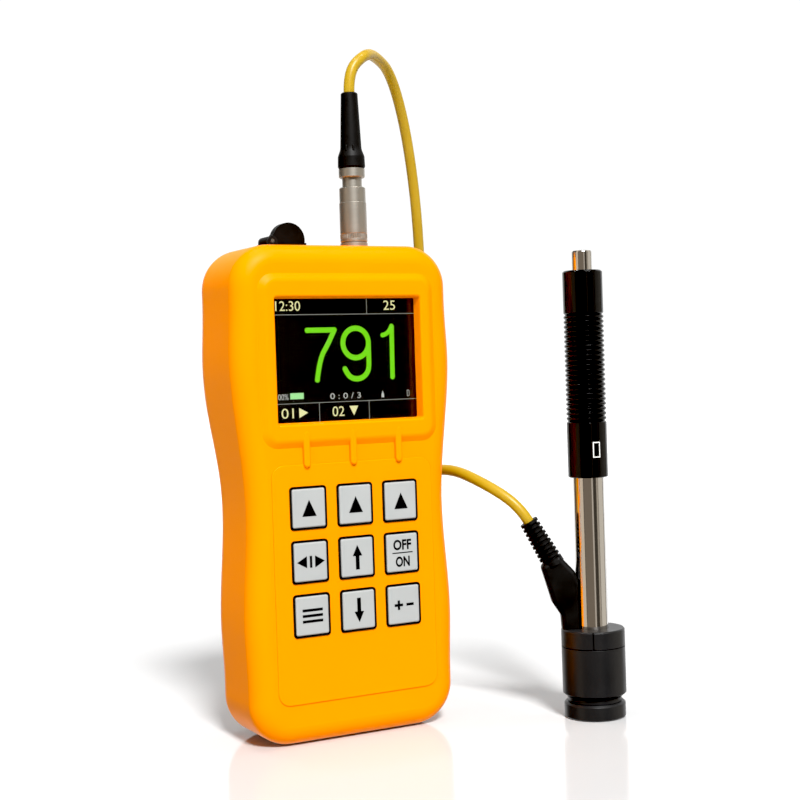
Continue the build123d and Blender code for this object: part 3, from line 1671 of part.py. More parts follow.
# Case screws: four through the rear cover into the front cover's bosses.
with BuildPart() as case_screws:
    for seats, seat_y in ((low_screws, low_seat_y), (high_screws, high_seat_y)):
        with BuildSketch(depth(seat_y + screw_head)):
            with Locations(*seats):
                Circle(screw_head_radius)
        extrude(amount=screw_head)
        with BuildSketch(depth(seat_y)):
            with Locations(*seats):
                Circle(screw_radius)
        extrude(amount=seat_y - parting_y + screw_bite)
        with BuildSketch(depth(seat_y + screw_head)):
            for x, z in seats:
                with Locations((x, z)):
                    Rectangle(3.2, 0.6)
                    Rectangle(0.6, 3.2)
        extrude(amount=1.1, mode=Mode.SUBTRACT)
case_screws.part.label = "case_screws"
export_step(case_screws.part, "parts/case_screws.step")
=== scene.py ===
from math import cos, pi, radians, sin

import bpy
from mathutils import Matrix, Vector


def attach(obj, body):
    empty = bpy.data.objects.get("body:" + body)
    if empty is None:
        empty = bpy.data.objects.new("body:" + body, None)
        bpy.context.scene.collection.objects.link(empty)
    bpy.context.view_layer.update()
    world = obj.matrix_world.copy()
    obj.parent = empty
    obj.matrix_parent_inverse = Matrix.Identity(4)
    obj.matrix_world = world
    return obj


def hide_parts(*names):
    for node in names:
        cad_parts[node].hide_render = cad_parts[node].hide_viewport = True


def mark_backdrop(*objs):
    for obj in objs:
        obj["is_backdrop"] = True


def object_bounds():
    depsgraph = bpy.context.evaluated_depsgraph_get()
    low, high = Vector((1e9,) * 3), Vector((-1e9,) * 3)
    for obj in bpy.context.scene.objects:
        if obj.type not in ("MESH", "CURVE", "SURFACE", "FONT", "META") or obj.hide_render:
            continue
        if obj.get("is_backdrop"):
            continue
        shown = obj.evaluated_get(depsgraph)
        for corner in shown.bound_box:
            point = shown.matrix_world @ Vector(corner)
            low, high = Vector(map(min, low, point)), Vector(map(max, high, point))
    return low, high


# A leeb hardness tester: a hand unit with its display and keys, and the impact
# device that stands beside it on its ring, joined by a thin yellow cable.
# Everything is in metres, Z is up, and the unit's display faces -Y.
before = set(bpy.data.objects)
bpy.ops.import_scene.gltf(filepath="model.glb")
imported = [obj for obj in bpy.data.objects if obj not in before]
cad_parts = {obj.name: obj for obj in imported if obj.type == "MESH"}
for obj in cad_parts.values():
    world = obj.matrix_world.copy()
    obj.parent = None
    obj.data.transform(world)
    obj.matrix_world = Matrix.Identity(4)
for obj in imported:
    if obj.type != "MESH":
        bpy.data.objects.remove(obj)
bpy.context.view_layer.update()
bpy.ops.object.select_all(action="DESELECT")
# the impact device's axis on the floor, and the directions from it to the
# camera and to the camera's right
device_x, device_y = 0.075, -0.0355
to_camera = (-0.579, -0.815)
to_right = (0.815, -0.579)

# Camera: a 36 mm sensor at the front left of the unit, a little below its top
# and turned very slightly, as the photograph was taken.
camera = bpy.data.objects.new("camera", bpy.data.cameras.new("camera"))
bpy.context.scene.collection.objects.link(camera)
camera.data.sensor_width = 36.0
camera.data.lens = 65.25
heading = Matrix.Rotation(radians(-28.152), 3, "Z") @ Matrix.Rotation(radians(-1.196), 3, "X")
turned = heading @ Matrix.Rotation(radians(1.877), 3, "Y") @ Matrix.Rotation(radians(90), 3, "X")
camera.matrix_world = Matrix.Translation((-0.1981, -0.4190, 0.1136)) @ turned.to_4x4()
camera.data.clip_start = 0.01
bpy.context.scene.camera = camera


# Floor and backdrop: a wide sheet of glossy white acrylic, which mirrors the
# foot of each thing that stands on it, under a white dome far behind.
def linear(code):
    """An sRGB hex colour in the renderer's linear light."""
    parts = [int(code[i : i + 2], 16) / 255 for i in (1, 3, 5)]
    return [c / 12.92 if c <= 0.04045 else ((c + 0.055) / 1.055) ** 2.4 for c in parts] + [1.0]


def add_node(owner, kind, settings={}, links={}):
    """One node in a material's tree, with its settings and what feeds it."""
    made = owner.node_tree.nodes.new(kind)
    for name, value in settings.items():
        if isinstance(name, int) or name in made.inputs:
            made.inputs[name].default_value = value
        else:
            setattr(made, name, value)
    for name, source in links.items():
        owner.node_tree.links.new(source, made.inputs[name])
    return made


def new_finish(name, settings, colour=None):
    """A material named for what the real one is, with its surface shader set."""
    finish = bpy.data.materials.new(name)
    finish.use_nodes = True
    surface = finish.node_tree.nodes["Principled BSDF"]
    for socket, value in settings.items():
        surface.inputs[socket].default_value = value
    if colour:
        surface.inputs["Base Color"].default_value = linear(colour)
        finish.diffuse_color = linear(colour)
    return finish, surface


def feed(finish, source, socket):
    """Joins one node's output to another's input."""
    finish.node_tree.links.new(source, socket)


bpy.ops.mesh.primitive_circle_add(vertices=96, radius=4.0, fill_type="NGON", location=(0, 0, -0.0002))
floor = bpy.context.object
floor.name = "studio_floor"
acrylic, surface = new_finish("white acrylic sheet", {"Roughness": 0.12, "IOR": 1.43}, "#CECECE")
place = add_node(acrylic, "ShaderNodeTexCoord")
# glossy and a little grey up to 0.3 m out, which is painted shade that deepens
# the shadows cast near the things, and from there to 0.7 m ever more matt and
# white, painted light that keeps the far floor white where less light reaches it
away = add_node(
    acrylic, "ShaderNodeVectorMath", {"operation": "LENGTH"}, {"Vector": place.outputs["Object"]}
)
edge = {"From Min": 0.3, "From Max": 0.7}
for socket, low, high in (("Specular IOR Level", 0.5, 0.0), ("Roughness", 0.12, 0.5)):
    falling = add_node(
        acrylic,
        "ShaderNodeMapRange",
        {**edge, "To Min": low, "To Max": high},
        {"Value": away.outputs["Value"]},
    )
    feed(acrylic, falling.outputs["Result"], surface.inputs[socket])
# the sheet's colour: grey painted shade near the things, whiter painted light farther out
share = add_node(acrylic, "ShaderNodeMapRange", edge, {"Value": away.outputs["Value"]})
tone = add_node(
    acrylic,
    "ShaderNodeMix",
    {"data_type": "RGBA", 6: linear("#CECECE"), 7: linear("#FAFAFA")},
    {0: share.outputs["Result"]},
)
feed(acrylic, tone.outputs[2], surface.inputs["Base Color"])
floor.data.materials.append(acrylic)
floor.visible_glossy = False
bpy.ops.object.select_all(action="DESELECT")
bpy.ops.mesh.primitive_uv_sphere_add(segments=64, ring_count=32, radius=6.0, location=(0, 0, 0))
backdrop = bpy.context.object
backdrop.name = "studio_backdrop"
bpy.ops.object.shade_smooth()
paper, surface = new_finish("white backdrop paper", {"Emission Strength": 1.0}, "#000000")
surface.inputs["Emission Color"].default_value = linear("#FFFFFF")
backdrop.data.materials.append(paper)
backdrop.visible_diffuse = False
backdrop.visible_shadow = False
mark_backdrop(floor, backdrop)

# Light: one distant lamp at the front, 47 degrees up, gives the shadows, large soft
# boxes overhead and at the left fill them, and two small ones overhead give the
# glints. A dim tent with a few cards stands round the front and sides. Only
# mirrors see it, and in place of the floor, so blacks stay black.
view = bpy.context.scene.view_settings
view.view_transform = "Standard"
# as in the photograph, the darkest tones are printed black
view.use_curve_mapping = True
view.curve_mapping.black_level = (0.016, 0.016, 0.016)
view.curve_mapping.update()
world = bpy.data.worlds.new("studio")
world.use_nodes = True
world.node_tree.nodes["Background"].inputs["Color"].default_value = linear("#FFFFFF")
world.node_tree.nodes["Background"].inputs["Strength"].default_value = 0.05
bpy.context.scene.world = world


def aim_lamp(lamp, place, aim):
    """Puts a lamp at a place, pointing at another."""
    holder = bpy.data.objects.new(lamp.name, lamp)
    bpy.context.scene.collection.objects.link(holder)
    holder.location = place
    holder.rotation_euler = (Vector(aim) - Vector(place)).to_track_quat("-Z", "Y").to_euler()
    return holder


key = bpy.data.lights.new("key_light", "SUN")
key.energy, key.angle = 5.4, radians(12)
aim_lamp(key, (-0.30, -1.50, 1.64), (0.0, 0.0, 0.0))
for name, size, energy, place in (
    ("overhead_fill", 1.0, 8.0, (0.0, -0.1, 1.7)),
    ("left_fill", 0.6, 3.0, (-1.3, -0.3, 0.45)),
):
    lamp = bpy.data.lights.new(name, "AREA")
    lamp.size, lamp.energy = size, energy
    aim_lamp(lamp, place, (0.0, 0.0, 0.08)).visible_glossy = False
for name, place in (("right_glint", (0.395, -0.155, 1.1)), ("left_glint", (-0.11, 0.20, 1.1))):
    lamp = bpy.data.lights.new(name, "AREA")
    lamp.size, lamp.energy = 0.06, 0.9
    aim_lamp(lamp, place, (device_x, device_y, 0.1))

bpy.ops.object.select_all(action="DESELECT")
bpy.ops.mesh.primitive_uv_sphere_add(
    segments=72, ring_count=36, radius=2.0, location=(0.05, -0.03, 0.1)
)
tent = bpy.context.object
tent.name = "dark_tent"
behind = -Vector((*to_camera, 0))
bpy.ops.object.mode_set(mode="EDIT")
bpy.ops.mesh.select_mode(type="VERT")
bpy.ops.mesh.select_all(action="DESELECT")
bpy.ops.object.mode_set(mode="OBJECT")
for v in tent.data.vertices:
    flat = Vector((v.co.x, v.co.y, 0))
    v.select = v.co.z < 1.3 and flat.length > 0.01 and flat.normalized().dot(behind) > 0.68
bpy.ops.object.mode_set(mode="EDIT")
bpy.ops.mesh.delete(type="VERT")
bpy.ops.object.mode_set(mode="OBJECT")


def only_mirrored(thing, name, shade):
    """Makes a stage piece glow evenly, and hides it from all but mirrors."""
    cloth, surface = new_finish(name, {"Emission Strength": 1.0, "Specular IOR Level": 0.0}, "#000000")
    surface.inputs["Emission Color"].default_value = linear(shade)
    thing.data.materials.append(cloth)
    thing.visible_camera = thing.visible_diffuse = thing.visible_shadow = False
    thing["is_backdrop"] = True


only_mirrored(tent, "dark tent cloth", "#5E5851")
# cards round the device; the bearing is in degrees to the right of the camera
cards = [
    ("light_card_left", -54.0, 0.40, 0.185, "#D6C6B2"),
    ("brown_card", -7.0, 0.40, 0.44, "#7D7266"),
    ("light_card_middle", 26.5, 0.20, 0.035, "#C2B8AC"),
    ("dark_card", 45.0, 0.20, 0.085, "#4A453F"),
    ("light_card_right", 64.0, 0.20, 0.045, "#B0A698"),
    ("grey_card", 98.0, 0.25, 0.220, "#D0C8BC"),
]
for name, bearing, distance, width, shade in cards:
    turn = radians(bearing)
    towards = Vector((*to_camera, 0)) * cos(turn) + Vector((*to_right, 0)) * sin(turn)
    bpy.ops.object.select_all(action="DESELECT")
    bpy.ops.mesh.primitive_plane_add(size=1.0)
    board = bpy.context.object
    board.name = name
    board.scale = (width, 1.6, 1.0)
    board.rotation_euler = (-towards).to_track_quat("Z", "Y").to_euler()
    board.location = Vector((device_x, device_y, 0.0)) + distance * towards
    only_mirrored(board, name + " paint", shade)
bpy.ops.object.select_all(action="DESELECT")

# Cable: a thin round lead in a yellow polyurethane jacket. It leaves the boot
# of the impact device, lies in a tied coil behind the unit for the length that
# isn't needed, and rises from there over into the plug.
lower_route = [
    (0.055037, -0.024885, 0.068548),
    (0.0486, -0.0153, 0.0754),
    (0.0444, 0.0011, 0.0805),
    (0.0412, 0.0179, 0.0773),
    (0.0365, 0.0270, 0.0610),
    (0.0275, 0.0310, 0.0410),
    (0.0155, 0.0330, 0.0215),
    (0.0045, 0.0375, 0.0075),
    (-0.0012, 0.0480, 0.0022),
]
upper_route = [
    (0.0433, 0.0770, 0.0094),
    (0.0457, 0.0670, 0.0094),
    (0.0475, 0.0560, 0.0125),
    (0.0492, 0.0480, 0.0210),
    (0.0506, 0.0440, 0.0340),
    (0.0520, 0.0420, 0.0540),
    (0.0532, 0.0385, 0.0860),
    (0.0537, 0.0336, 0.1238),
    (0.0513, 0.0288, 0.1626),
    (0.0457, 0.0247, 0.1944),
    (0.0369, 0.0188, 0.2149),
    (0.0260, 0.0105, 0.2186),
    (0.0175, 0.0009, 0.2160),
    (0.0112, 0.0000, 0.2100),
    (0.0112, 0.0000, 0.2030),
]
cable_diameter = 0.0036
coil_centre = (0.022, 0.060)
inner_turn, low_turn = 0.0164, 0.0022
# the coil's nine strands, by column and layer, in the order that they were wound
strands = [(2, 0), (1, 0), (0, 0), (0, 1), (0, 2), (1, 2), (1, 1), (2, 1), (2, 2)]
changes = [330, 690, 1020, 1380, 1710, 2040, 2370, 2700]
winding = []
step = 22.5
for k in range(1, 135):
    turned_by = k * step
    column, layer = strands[0]
    for change, before, after in zip(changes, strands, strands[1:]):
        share = min(1.0, max(0.0, (turned_by - change + 30) / 60))
        share = share * share * (3 - 2 * share)
        column += (after[0] - before[0]) * share
        layer += (after[1] - before[1]) * share
    radius = (inner_turn + cable_diameter * column) / cos(radians(step / 2))
    angle = radians(180 - turned_by)
    winding.append(
        (
            coil_centre[0] + radius * cos(angle),
            coil_centre[1] + radius * sin(angle),
            low_turn + cable_diameter * layer,
        )
    )
cable_curve = bpy.data.curves.new("cable", "CURVE")
cable_curve.dimensions = "3D"
line = cable_curve.splines.new("NURBS")
route = [(0.057606, -0.026251, 0.0633), *lower_route, *winding, *upper_route]
line.points.add(len(route) - 1)
for point, place in zip(line.points, route):
    point.co = (*place, 1.0)
line.order_u = 3
line.use_endpoint_u = True
line.resolution_u = 6
cable_curve.bevel_depth = cable_diameter / 2
cable_curve.bevel_resolution = 5
cable_curve.use_fill_caps = True
cable = bpy.data.objects.new("cable", cable_curve)
bpy.context.scene.collection.objects.link(cable)

jacket, surface = new_finish(
    "polyurethane cable jacket, extruded",
    {"Roughness": 0.38, "IOR": 1.5, "Specular IOR Level": 0.35},
    "#AC8C1F",
)
place = add_node(jacket, "ShaderNodeTexCoord")
# slow drift of the dye along the lead, about every 8 mm
drift = add_node(
    jacket, "ShaderNodeTexNoise", {"Scale": 120.0, "Detail": 2.0}, {"Vector": place.outputs["Object"]}
)
tone = add_node(
    jacket,
    "ShaderNodeMix",
    {"data_type": "RGBA", 6: linear("#A68618"), 7: linear("#B29225")},
    {0: drift.outputs["Fac"]},
)
feed(jacket, tone.outputs[2], surface.inputs["Base Color"])
# drag marks and the faint lay of the cores under the jacket, about 0.5 mm
drag = add_node(
    jacket, "ShaderNodeTexNoise", {"Scale": 2000.0, "Detail": 3.0}, {"Vector": place.outputs["Object"]}
)
relief = add_node(
    jacket, "ShaderNodeBump", {"Strength": 0.2, "Distance": 0.0001}, {"Height": drag.outputs["Fac"]}
)
feed(jacket, relief.outputs["Normal"], surface.inputs["Normal"])
cable_curve.materials.append(jacket)
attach(cable, "base")
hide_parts("cable_upper", "cable_lower", "cable_coil")


# Front cover, rear cover and battery door: moulded ABS in orange-yellow, with
# a fine matt texture from the mould, a little polished where hands hold it.
def dress(finish, *names):
    """Gives CAD nodes a finish on their own material slots."""
    for name in names:
        for place_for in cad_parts[name].material_slots:
            place_for.material = finish


housing, surface = new_finish(
    "ABS moulding, orange-yellow, spark textured", {"IOR": 1.53, "Specular IOR Level": 0.08}, "#F58A00"
)
place = add_node(housing, "ShaderNodeTexCoord")
cloud = add_node(
    housing, "ShaderNodeTexNoise", {"Scale": 22.0, "Detail": 3.0}, {"Vector": place.outputs["Object"]}
)
tone = add_node(
    housing,
    "ShaderNodeMix",
    {"data_type": "RGBA", 6: linear("#F48700"), 7: linear("#F68D00")},
    {0: cloud.outputs["Fac"]},
)
feed(housing, tone.outputs[2], surface.inputs["Base Color"])
rub = add_node(
    housing,
    "ShaderNodeMapRange",
    {"From Min": 0.35, "From Max": 0.65, "To Min": 0.36, "To Max": 0.46},
    {"Value": cloud.outputs["Fac"]},
)
feed(housing, rub.outputs["Result"], surface.inputs["Roughness"])
# the mould's texture, drawn at about 0.35 mm so that it shows
grain = add_node(
    housing, "ShaderNodeTexNoise", {"Scale": 2800.0, "Detail": 2.0}, {"Vector": place.outputs["Object"]}
)
relief = add_node(
    housing, "ShaderNodeBump", {"Strength": 0.22, "Distance": 0.00006}, {"Height": grain.outputs["Fac"]}
)
feed(housing, relief.outputs["Normal"], surface.inputs["Normal"])
dress(housing, "front_cover", "rear_cover", "battery_door")

# Display: a clear hard-coated acrylic window over the display's black glass.
clear, surface = new_finish(
    "clear acrylic, hard coated", {"Roughness": 0.02, "IOR": 1.49, "Transmission Weight": 1.0}, "#FFFFFF"
)
place = add_node(clear, "ShaderNodeTexCoord")
# a few faint wipe marks in the hard coat
wipe = add_node(
    clear, "ShaderNodeTexNoise", {"Scale": 60.0, "Detail": 4.0}, {"Vector": place.outputs["Object"]}
)
haze = add_node(
    clear,
    "ShaderNodeMapRange",
    {"From Min": 0.45, "From Max": 0.75, "To Min": 0.015, "To Max": 0.05},
    {"Value": wipe.outputs["Fac"]},
)
feed(clear, haze.outputs["Result"], surface.inputs["Roughness"])
dress(clear, "display_window")
panel_glass, surface = new_finish("display glass, black", {"Roughness": 0.3, "IOR": 1.5}, "#040405")
place = add_node(panel_glass, "ShaderNodeTexCoord")
# the grid of the dots, drawn at 0.25 mm, and barely lighter than the glass
dots = add_node(
    panel_glass,
    "ShaderNodeTexChecker",
    {"Scale": 4000.0, "Color1": linear("#040405"), "Color2": linear("#070708")},
    {"Vector": place.outputs["Object"]},
)
feed(panel_glass, dots.outputs["Color"], surface.inputs["Base Color"])
dress(panel_glass, "display_panel")


# Reading: three lit digits of a rounded line, drawn 1.7 mm wide on the display
# just behind the window. It shows numbers alone.
def lit(name, code, strength):
    """A lit part of the display: it glows in one colour on black glass."""
    finish, surface = new_finish(name, {"Roughness": 0.4}, "#050505")
    surface.inputs["Emission Color"].default_value = linear(code)
    surface.inputs["Emission Strength"].default_value = strength
    return finish


def stroke(points, width, level):
    """A drawn line with round ends, flat on an upright plane; points are (x, z) in mm."""
    drawn = bpy.data.curves.new("stroke", "CURVE")
    drawn.dimensions = "3D"
    run = drawn.splines.new("NURBS")
    run.points.add(len(points) - 1)
    for point, (x, z) in zip(run.points, points):
        point.co = (x / 1000, 0, z / 1000, 1)
    run.order_u = 3
    run.use_endpoint_u = True
    run.resolution_u = 12
    drawn.bevel_depth = width / 2000
    drawn.bevel_resolution = 3
    shown = bpy.data.objects.new("stroke", drawn)
    bpy.context.scene.collection.objects.link(shown)
    bpy.ops.object.select_all(action="DESELECT")
    shown.select_set(True)
    bpy.context.view_layer.objects.active = shown
    bpy.ops.object.convert(target="MESH")
    parts = [bpy.context.object]
    for x, z in (points[0], points[-1]):
        bpy.ops.mesh.primitive_uv_sphere_add(
            segments=20, ring_count=8, radius=width / 2000, location=(x / 1000, 0, z / 1000)
        )
        parts.append(bpy.context.object)
    return flat_piece(parts, level, 0.00003)


def round_run(x, z, reach_x, reach_z, angles):
    """Control points, in mm, that a drawn line needs to follow an ellipse at 30 degree steps."""
    grow = 1 / cos(radians(15))
    return [(x + reach_x * grow * cos(radians(a)), z + reach_z * grow * sin(radians(a))) for a in angles]


def flat_piece(parts, level, thickness):
    """Joins meshes into one flat piece that thick, whose front is on an upright plane y = level."""
    bpy.ops.object.select_all(action="DESELECT")
    for part in parts:
        part.select_set(True)
    bpy.context.view_layer.objects.active = parts[0]
    if len(parts) > 1:
        bpy.ops.object.join()
    bpy.ops.object.transform_apply(location=True, rotation=True, scale=True)
    made = bpy.context.object
    depths = [v.co.y for v in made.data.vertices]
    span = max(depths) - min(depths)
    for v in made.data.vertices:
        share = (v.co.y - min(depths)) / span if span > 1e-7 else 0.0
        v.co.y = level + share * thickness
    return made


glow_green = lit("display dots, lit green", "#78E01E", 1.0)
# the front of the reading and of the signs, in metres, and the digits' strokes
reading_front, signs_front = -0.01278, -0.01276
upper_ring = round_run(3.97, 122.4, 4.43, 4.6, range(15, 360, 30))
lower_bow = round_run(4.1, 115.4, 4.25, 4.2, range(-15, -150, -30))
digits = [
    stroke(points, width, reading_front)
    for points, width in (
        ([(-12.5, 126.6), (-8.0, 126.6), (-3.3, 126.6)], 1.7),
        ([(-3.3, 126.6), (-5.3, 122.6), (-8.6, 117.8), (-9.6, 111.3)], 1.7),
        ([(8.4, 122.4), *upper_ring, (8.4, 122.4)], 1.7),
        ([(8.4, 122.4), (8.4, 118.5), *lower_bow, (-0.05, 114.4)], 1.7),
        ([(13.5, 124.7), (15.6, 124.9), (16.7, 127.5)], 1.5),
        ([(16.8, 127.3), (16.7, 119.0), (16.6, 111.5)], 1.7),
    )
]
reading = flat_piece(digits, reading_front, 0.00003)
reading.name = "display_reading"
reading.data.materials.clear()
reading.data.materials.append(glow_green)
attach(reading, "base")


# Status lines: a pale rule under the top row and over the foot of the screen,
# with dividers, numbers, a charge bar and plain pointer marks between them.
def bar(x_low, x_high, z_low, z_high):
    """A thin upright rectangle, sizes in mm."""
    bpy.ops.mesh.primitive_plane_add(size=0.001, rotation=(pi / 2, 0, 0))
    made = bpy.context.object
    made.scale = (x_high - x_low, z_high - z_low, 1)
    made.location = ((x_low + x_high) / 2000, 0, (z_low + z_high) / 2000)
    bpy.ops.object.transform_apply(location=True, rotation=True, scale=True)
    return made


def wedge(x, z, width, height, turn):
    """A triangle round (x, z) in mm, that points up and is then turned clockwise."""
    bpy.ops.mesh.primitive_circle_add(vertices=3, radius=0.001, fill_type="NGON", rotation=(pi / 2, 0, 0))
    made = bpy.context.object
    bpy.ops.object.transform_apply(location=False, rotation=True, scale=True)
    low, high = min(v.co.z for v in made.data.vertices), max(v.co.z for v in made.data.vertices)
    reach = max(v.co.x for v in made.data.vertices)
    for v in made.data.vertices:
        across = v.co.x / reach * width / 2000
        up = ((v.co.z - low) / (high - low) - 0.5) * height / 1000
        angle = radians(turn)
        v.co.x = x / 1000 + across * cos(angle) + up * sin(angle)
        v.co.z = z / 1000 - across * sin(angle) + up * cos(angle)
    return made


def figures(text, x_low, x_high, z_low, z_high, weight):
    """Numbers or signs that fill a rectangle given in mm; weight thickens their lines."""
    bpy.ops.object.text_add()
    made = bpy.context.object
    made.data.body = text
    made.data.offset = weight
    made.data.resolution_u = 4
    bpy.ops.object.convert(target="MESH")
    made = bpy.context.object
    xs, ys = [v.co.x for v in made.data.vertices], [v.co.y for v in made.data.vertices]
    for v in made.data.vertices:
        across = (v.co.x - min(xs)) / (max(xs) - min(xs))
        up = (v.co.y - min(ys)) / (max(ys) - min(ys))
        v.co = (
            (x_low + across * (x_high - x_low)) / 1000,
            0,
            (z_low + up * (z_high - z_low)) / 1000,
        )
    return made


rules = [
    bar(-25.0, 25.0, 131.35, 131.5),
    bar(8.1, 8.25, 131.5, 136.6),
    bar(-25.0, 25.0, 104.2, 104.35),
    bar(-9.3, -9.15, 98.0, 104.2),
    bar(7.9, 8.05, 98.0, 104.2),
]
screen_rules = flat_piece(rules, signs_front, 0.00002)
screen_rules.name = "display_rules"
screen_rules.data.materials.append(lit("display dots, lit grey", "#A9ACA4", 1.0))
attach(screen_rules, "base")
signs = [
    figures("12:30", -22.9, -14.6, 132.6, 135.6, 0.0),
    figures("25", 14.1, 18.3, 132.6, 135.6, 0.0),
    figures("01", -22.0, -17.9, 99.8, 102.9, 0.0),
    wedge(-14.6, 101.35, 3.1, 3.0, 90),
    figures("02", -4.8, -0.7, 99.8, 102.9, 0.0),
    wedge(2.6, 101.35, 3.1, 3.0, 180),
]
screen_signs = flat_piece(signs, signs_front, 0.00002)
screen_signs.name = "display_signs"
screen_signs.data.materials.append(lit("display dots, lit pale yellow", "#EFEDB0", 1.0))
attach(screen_signs, "base")
small_signs = [
    figures("100%", -23.6, -19.5, 105.5, 107.3, 0.0),
    figures("0 : 0 / 3", -5.4, 5.2, 105.2, 107.0, 0.0),
    wedge(12.9, 106.6, 0.9, 1.3, 0),
    bar(12.45, 13.35, 105.1, 106.1),
    bar(21.6, 21.75, 105.2, 107.1),
    bar(21.75, 22.3, 106.95, 107.1),
    bar(21.75, 22.3, 105.2, 105.35),
    bar(22.3, 22.45, 105.35, 106.95),
]
status_signs = flat_piece(small_signs, signs_front, 0.00002)
status_signs.name = "display_status"
status_signs.data.materials.append(lit("display dots, lit white", "#C9CCC6", 1.0))
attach(status_signs, "base")
charge = flat_piece([bar(-18.9, -14.4, 105.6, 107.5)], signs_front, 0.00002)
charge.name = "display_charge_bar"
charge.data.materials.append(lit("display dots, lit pale green", "#A9EFA0", 1.0))
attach(charge, "base")

# Keys: light grey ABS caps with a matt top and rounded edges, each in a black
# silicone collar of the keypad mat. Their marks are printed in dark ink.
key_grey, surface = new_finish("ABS keycap, light grey", {"IOR": 1.53, "Specular IOR Level": 0.3}, "#A0A2A2")
place = add_node(key_grey, "ShaderNodeTexCoord")
cloud = add_node(
    key_grey, "ShaderNodeTexNoise", {"Scale": 90.0, "Detail": 3.0}, {"Vector": place.outputs["Object"]}
)
tone = add_node(
    key_grey,
    "ShaderNodeMix",
    {"data_type": "RGBA", 6: linear("#9DA09F"), 7: linear("#A4A6A5")},
    {0: cloud.outputs["Fac"]},
)
feed(key_grey, tone.outputs[2], surface.inputs["Base Color"])
# fingers polish the middle of each cap in patches a few millimetres wide
rub = add_node(
    key_grey,
    "ShaderNodeMapRange",
    {"From Min": 0.35, "From Max": 0.65, "To Min": 0.38, "To Max": 0.5},
    {"Value": cloud.outputs["Fac"]},
)
feed(key_grey, rub.outputs["Result"], surface.inputs["Roughness"])
grain = add_node(
    key_grey, "ShaderNodeTexNoise", {"Scale": 3500.0, "Detail": 2.0}, {"Vector": place.outputs["Object"]}
)
relief = add_node(
    key_grey, "ShaderNodeBump", {"Strength": 0.15, "Distance": 0.00005}, {"Height": grain.outputs["Fac"]}
)
feed(key_grey, relief.outputs["Normal"], surface.inputs["Normal"])
for row in (1, 2, 3):
    for column in (1, 2, 3):
        dress(key_grey, f"key_{row}_{column}")

silicone, surface = new_finish(
    "silicone rubber, black, moulded", {"IOR": 1.43, "Specular IOR Level": 0.3}, "#0E0D0D"
)
place = add_node(silicone, "ShaderNodeTexCoord")
# dust and handling leave it lighter in patches of about 4 mm
dust = add_node(
    silicone, "ShaderNodeTexNoise", {"Scale": 250.0, "Detail": 4.0}, {"Vector": place.outputs["Object"]}
)
tone = add_node(
    silicone,
    "ShaderNodeMix",
    {"data_type": "RGBA", 6: linear("#0B0A0A"), 7: linear("#131211")},
    {0: dust.outputs["Fac"]},
)
feed(silicone, tone.outputs[2], surface.inputs["Base Color"])
rub = add_node(
    silicone,
    "ShaderNodeMapRange",
    {"From Min": 0.3, "From Max": 0.7, "To Min": 0.5, "To Max": 0.68},
    {"Value": dust.outputs["Fac"]},
)
feed(silicone, rub.outputs["Result"], surface.inputs["Roughness"])
dress(silicone, "keypad_mat")

ink, surface = new_finish("pad-printed ink, near black", {"IOR": 1.5, "Specular IOR Level": 0.2}, "#0A0A0B")
place = add_node(ink, "ShaderNodeTexCoord")
# thin spots in the ink where the pad lifted, about 0.3 mm
thin = add_node(
    ink, "ShaderNodeTexNoise", {"Scale": 3000.0, "Detail": 2.0}, {"Vector": place.outputs["Object"]}
)
tone = add_node(
    ink,
    "ShaderNodeMix",
    {"data_type": "RGBA", 6: linear("#070708"), 7: linear("#0F0F11")},
    {0: thin.outputs["Fac"]},
)
feed(ink, tone.outputs[2], surface.inputs["Base Color"])
key_face = -0.01763
key_pitch = 15.8
key_rows = {1: 72.5, 2: 56.1, 3: 39.7}


def key_marks(row, column):
    """The printed marks of one key, in mm round its middle."""
    x, z = (column - 2) * key_pitch, key_rows[row]
    if row == 1:
        return [wedge(x, z, 4.8, 5.1, 0)]
    if column == 2:
        up = 1 if row == 2 else -1
        ends = (z - 3.8 * up, z + 0.9 * up)
        return [wedge(x, z + 2.1 * up, 3.3, 3.4, 90 - 90 * up), bar(x - 0.65, x + 0.65, min(ends), max(ends))]
    if row == 2 and column == 1:
        middle = bar(x - 0.4, x + 0.4, z - 1.8, z + 1.8)
        return [wedge(x - 3.0, z, 3.7, 3.3, 270), middle, wedge(x + 3.0, z, 3.7, 3.3, 90)]
    if row == 2:
        return [
            figures("OFF", x - 3.2, x + 3.2, z + 0.9, z + 4.2, 0.035),
            bar(x - 3.6, x + 3.6, z - 0.15, z + 0.2),
            figures("ON", x - 2.5, x + 2.5, z - 4.4, z - 1.1, 0.035),
        ]
    if column == 1:
        return [bar(x - 3.4, x + 3.4, z + k * 1.7 - 0.42, z + k * 1.7 + 0.42) for k in (-1, 0, 1)]
    return [
        bar(x - 3.4, x - 0.4, z - 0.42, z + 0.42),
        bar(x - 2.32, x - 1.48, z + 0.42, z + 1.5),
        bar(x - 2.32, x - 1.48, z - 1.5, z - 0.42),
        bar(x + 0.8, x + 3.4, z - 0.42, z + 0.42),
    ]


for row in (1, 2, 3):
    for column in (1, 2, 3):
        print_of_key = flat_piece(key_marks(row, column), key_face, 0.00004)
        print_of_key.name = f"key_{row}_{column}_mark"
        print_of_key.data.materials.append(ink)
        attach(print_of_key, f"key_{row}_{column}_cap")

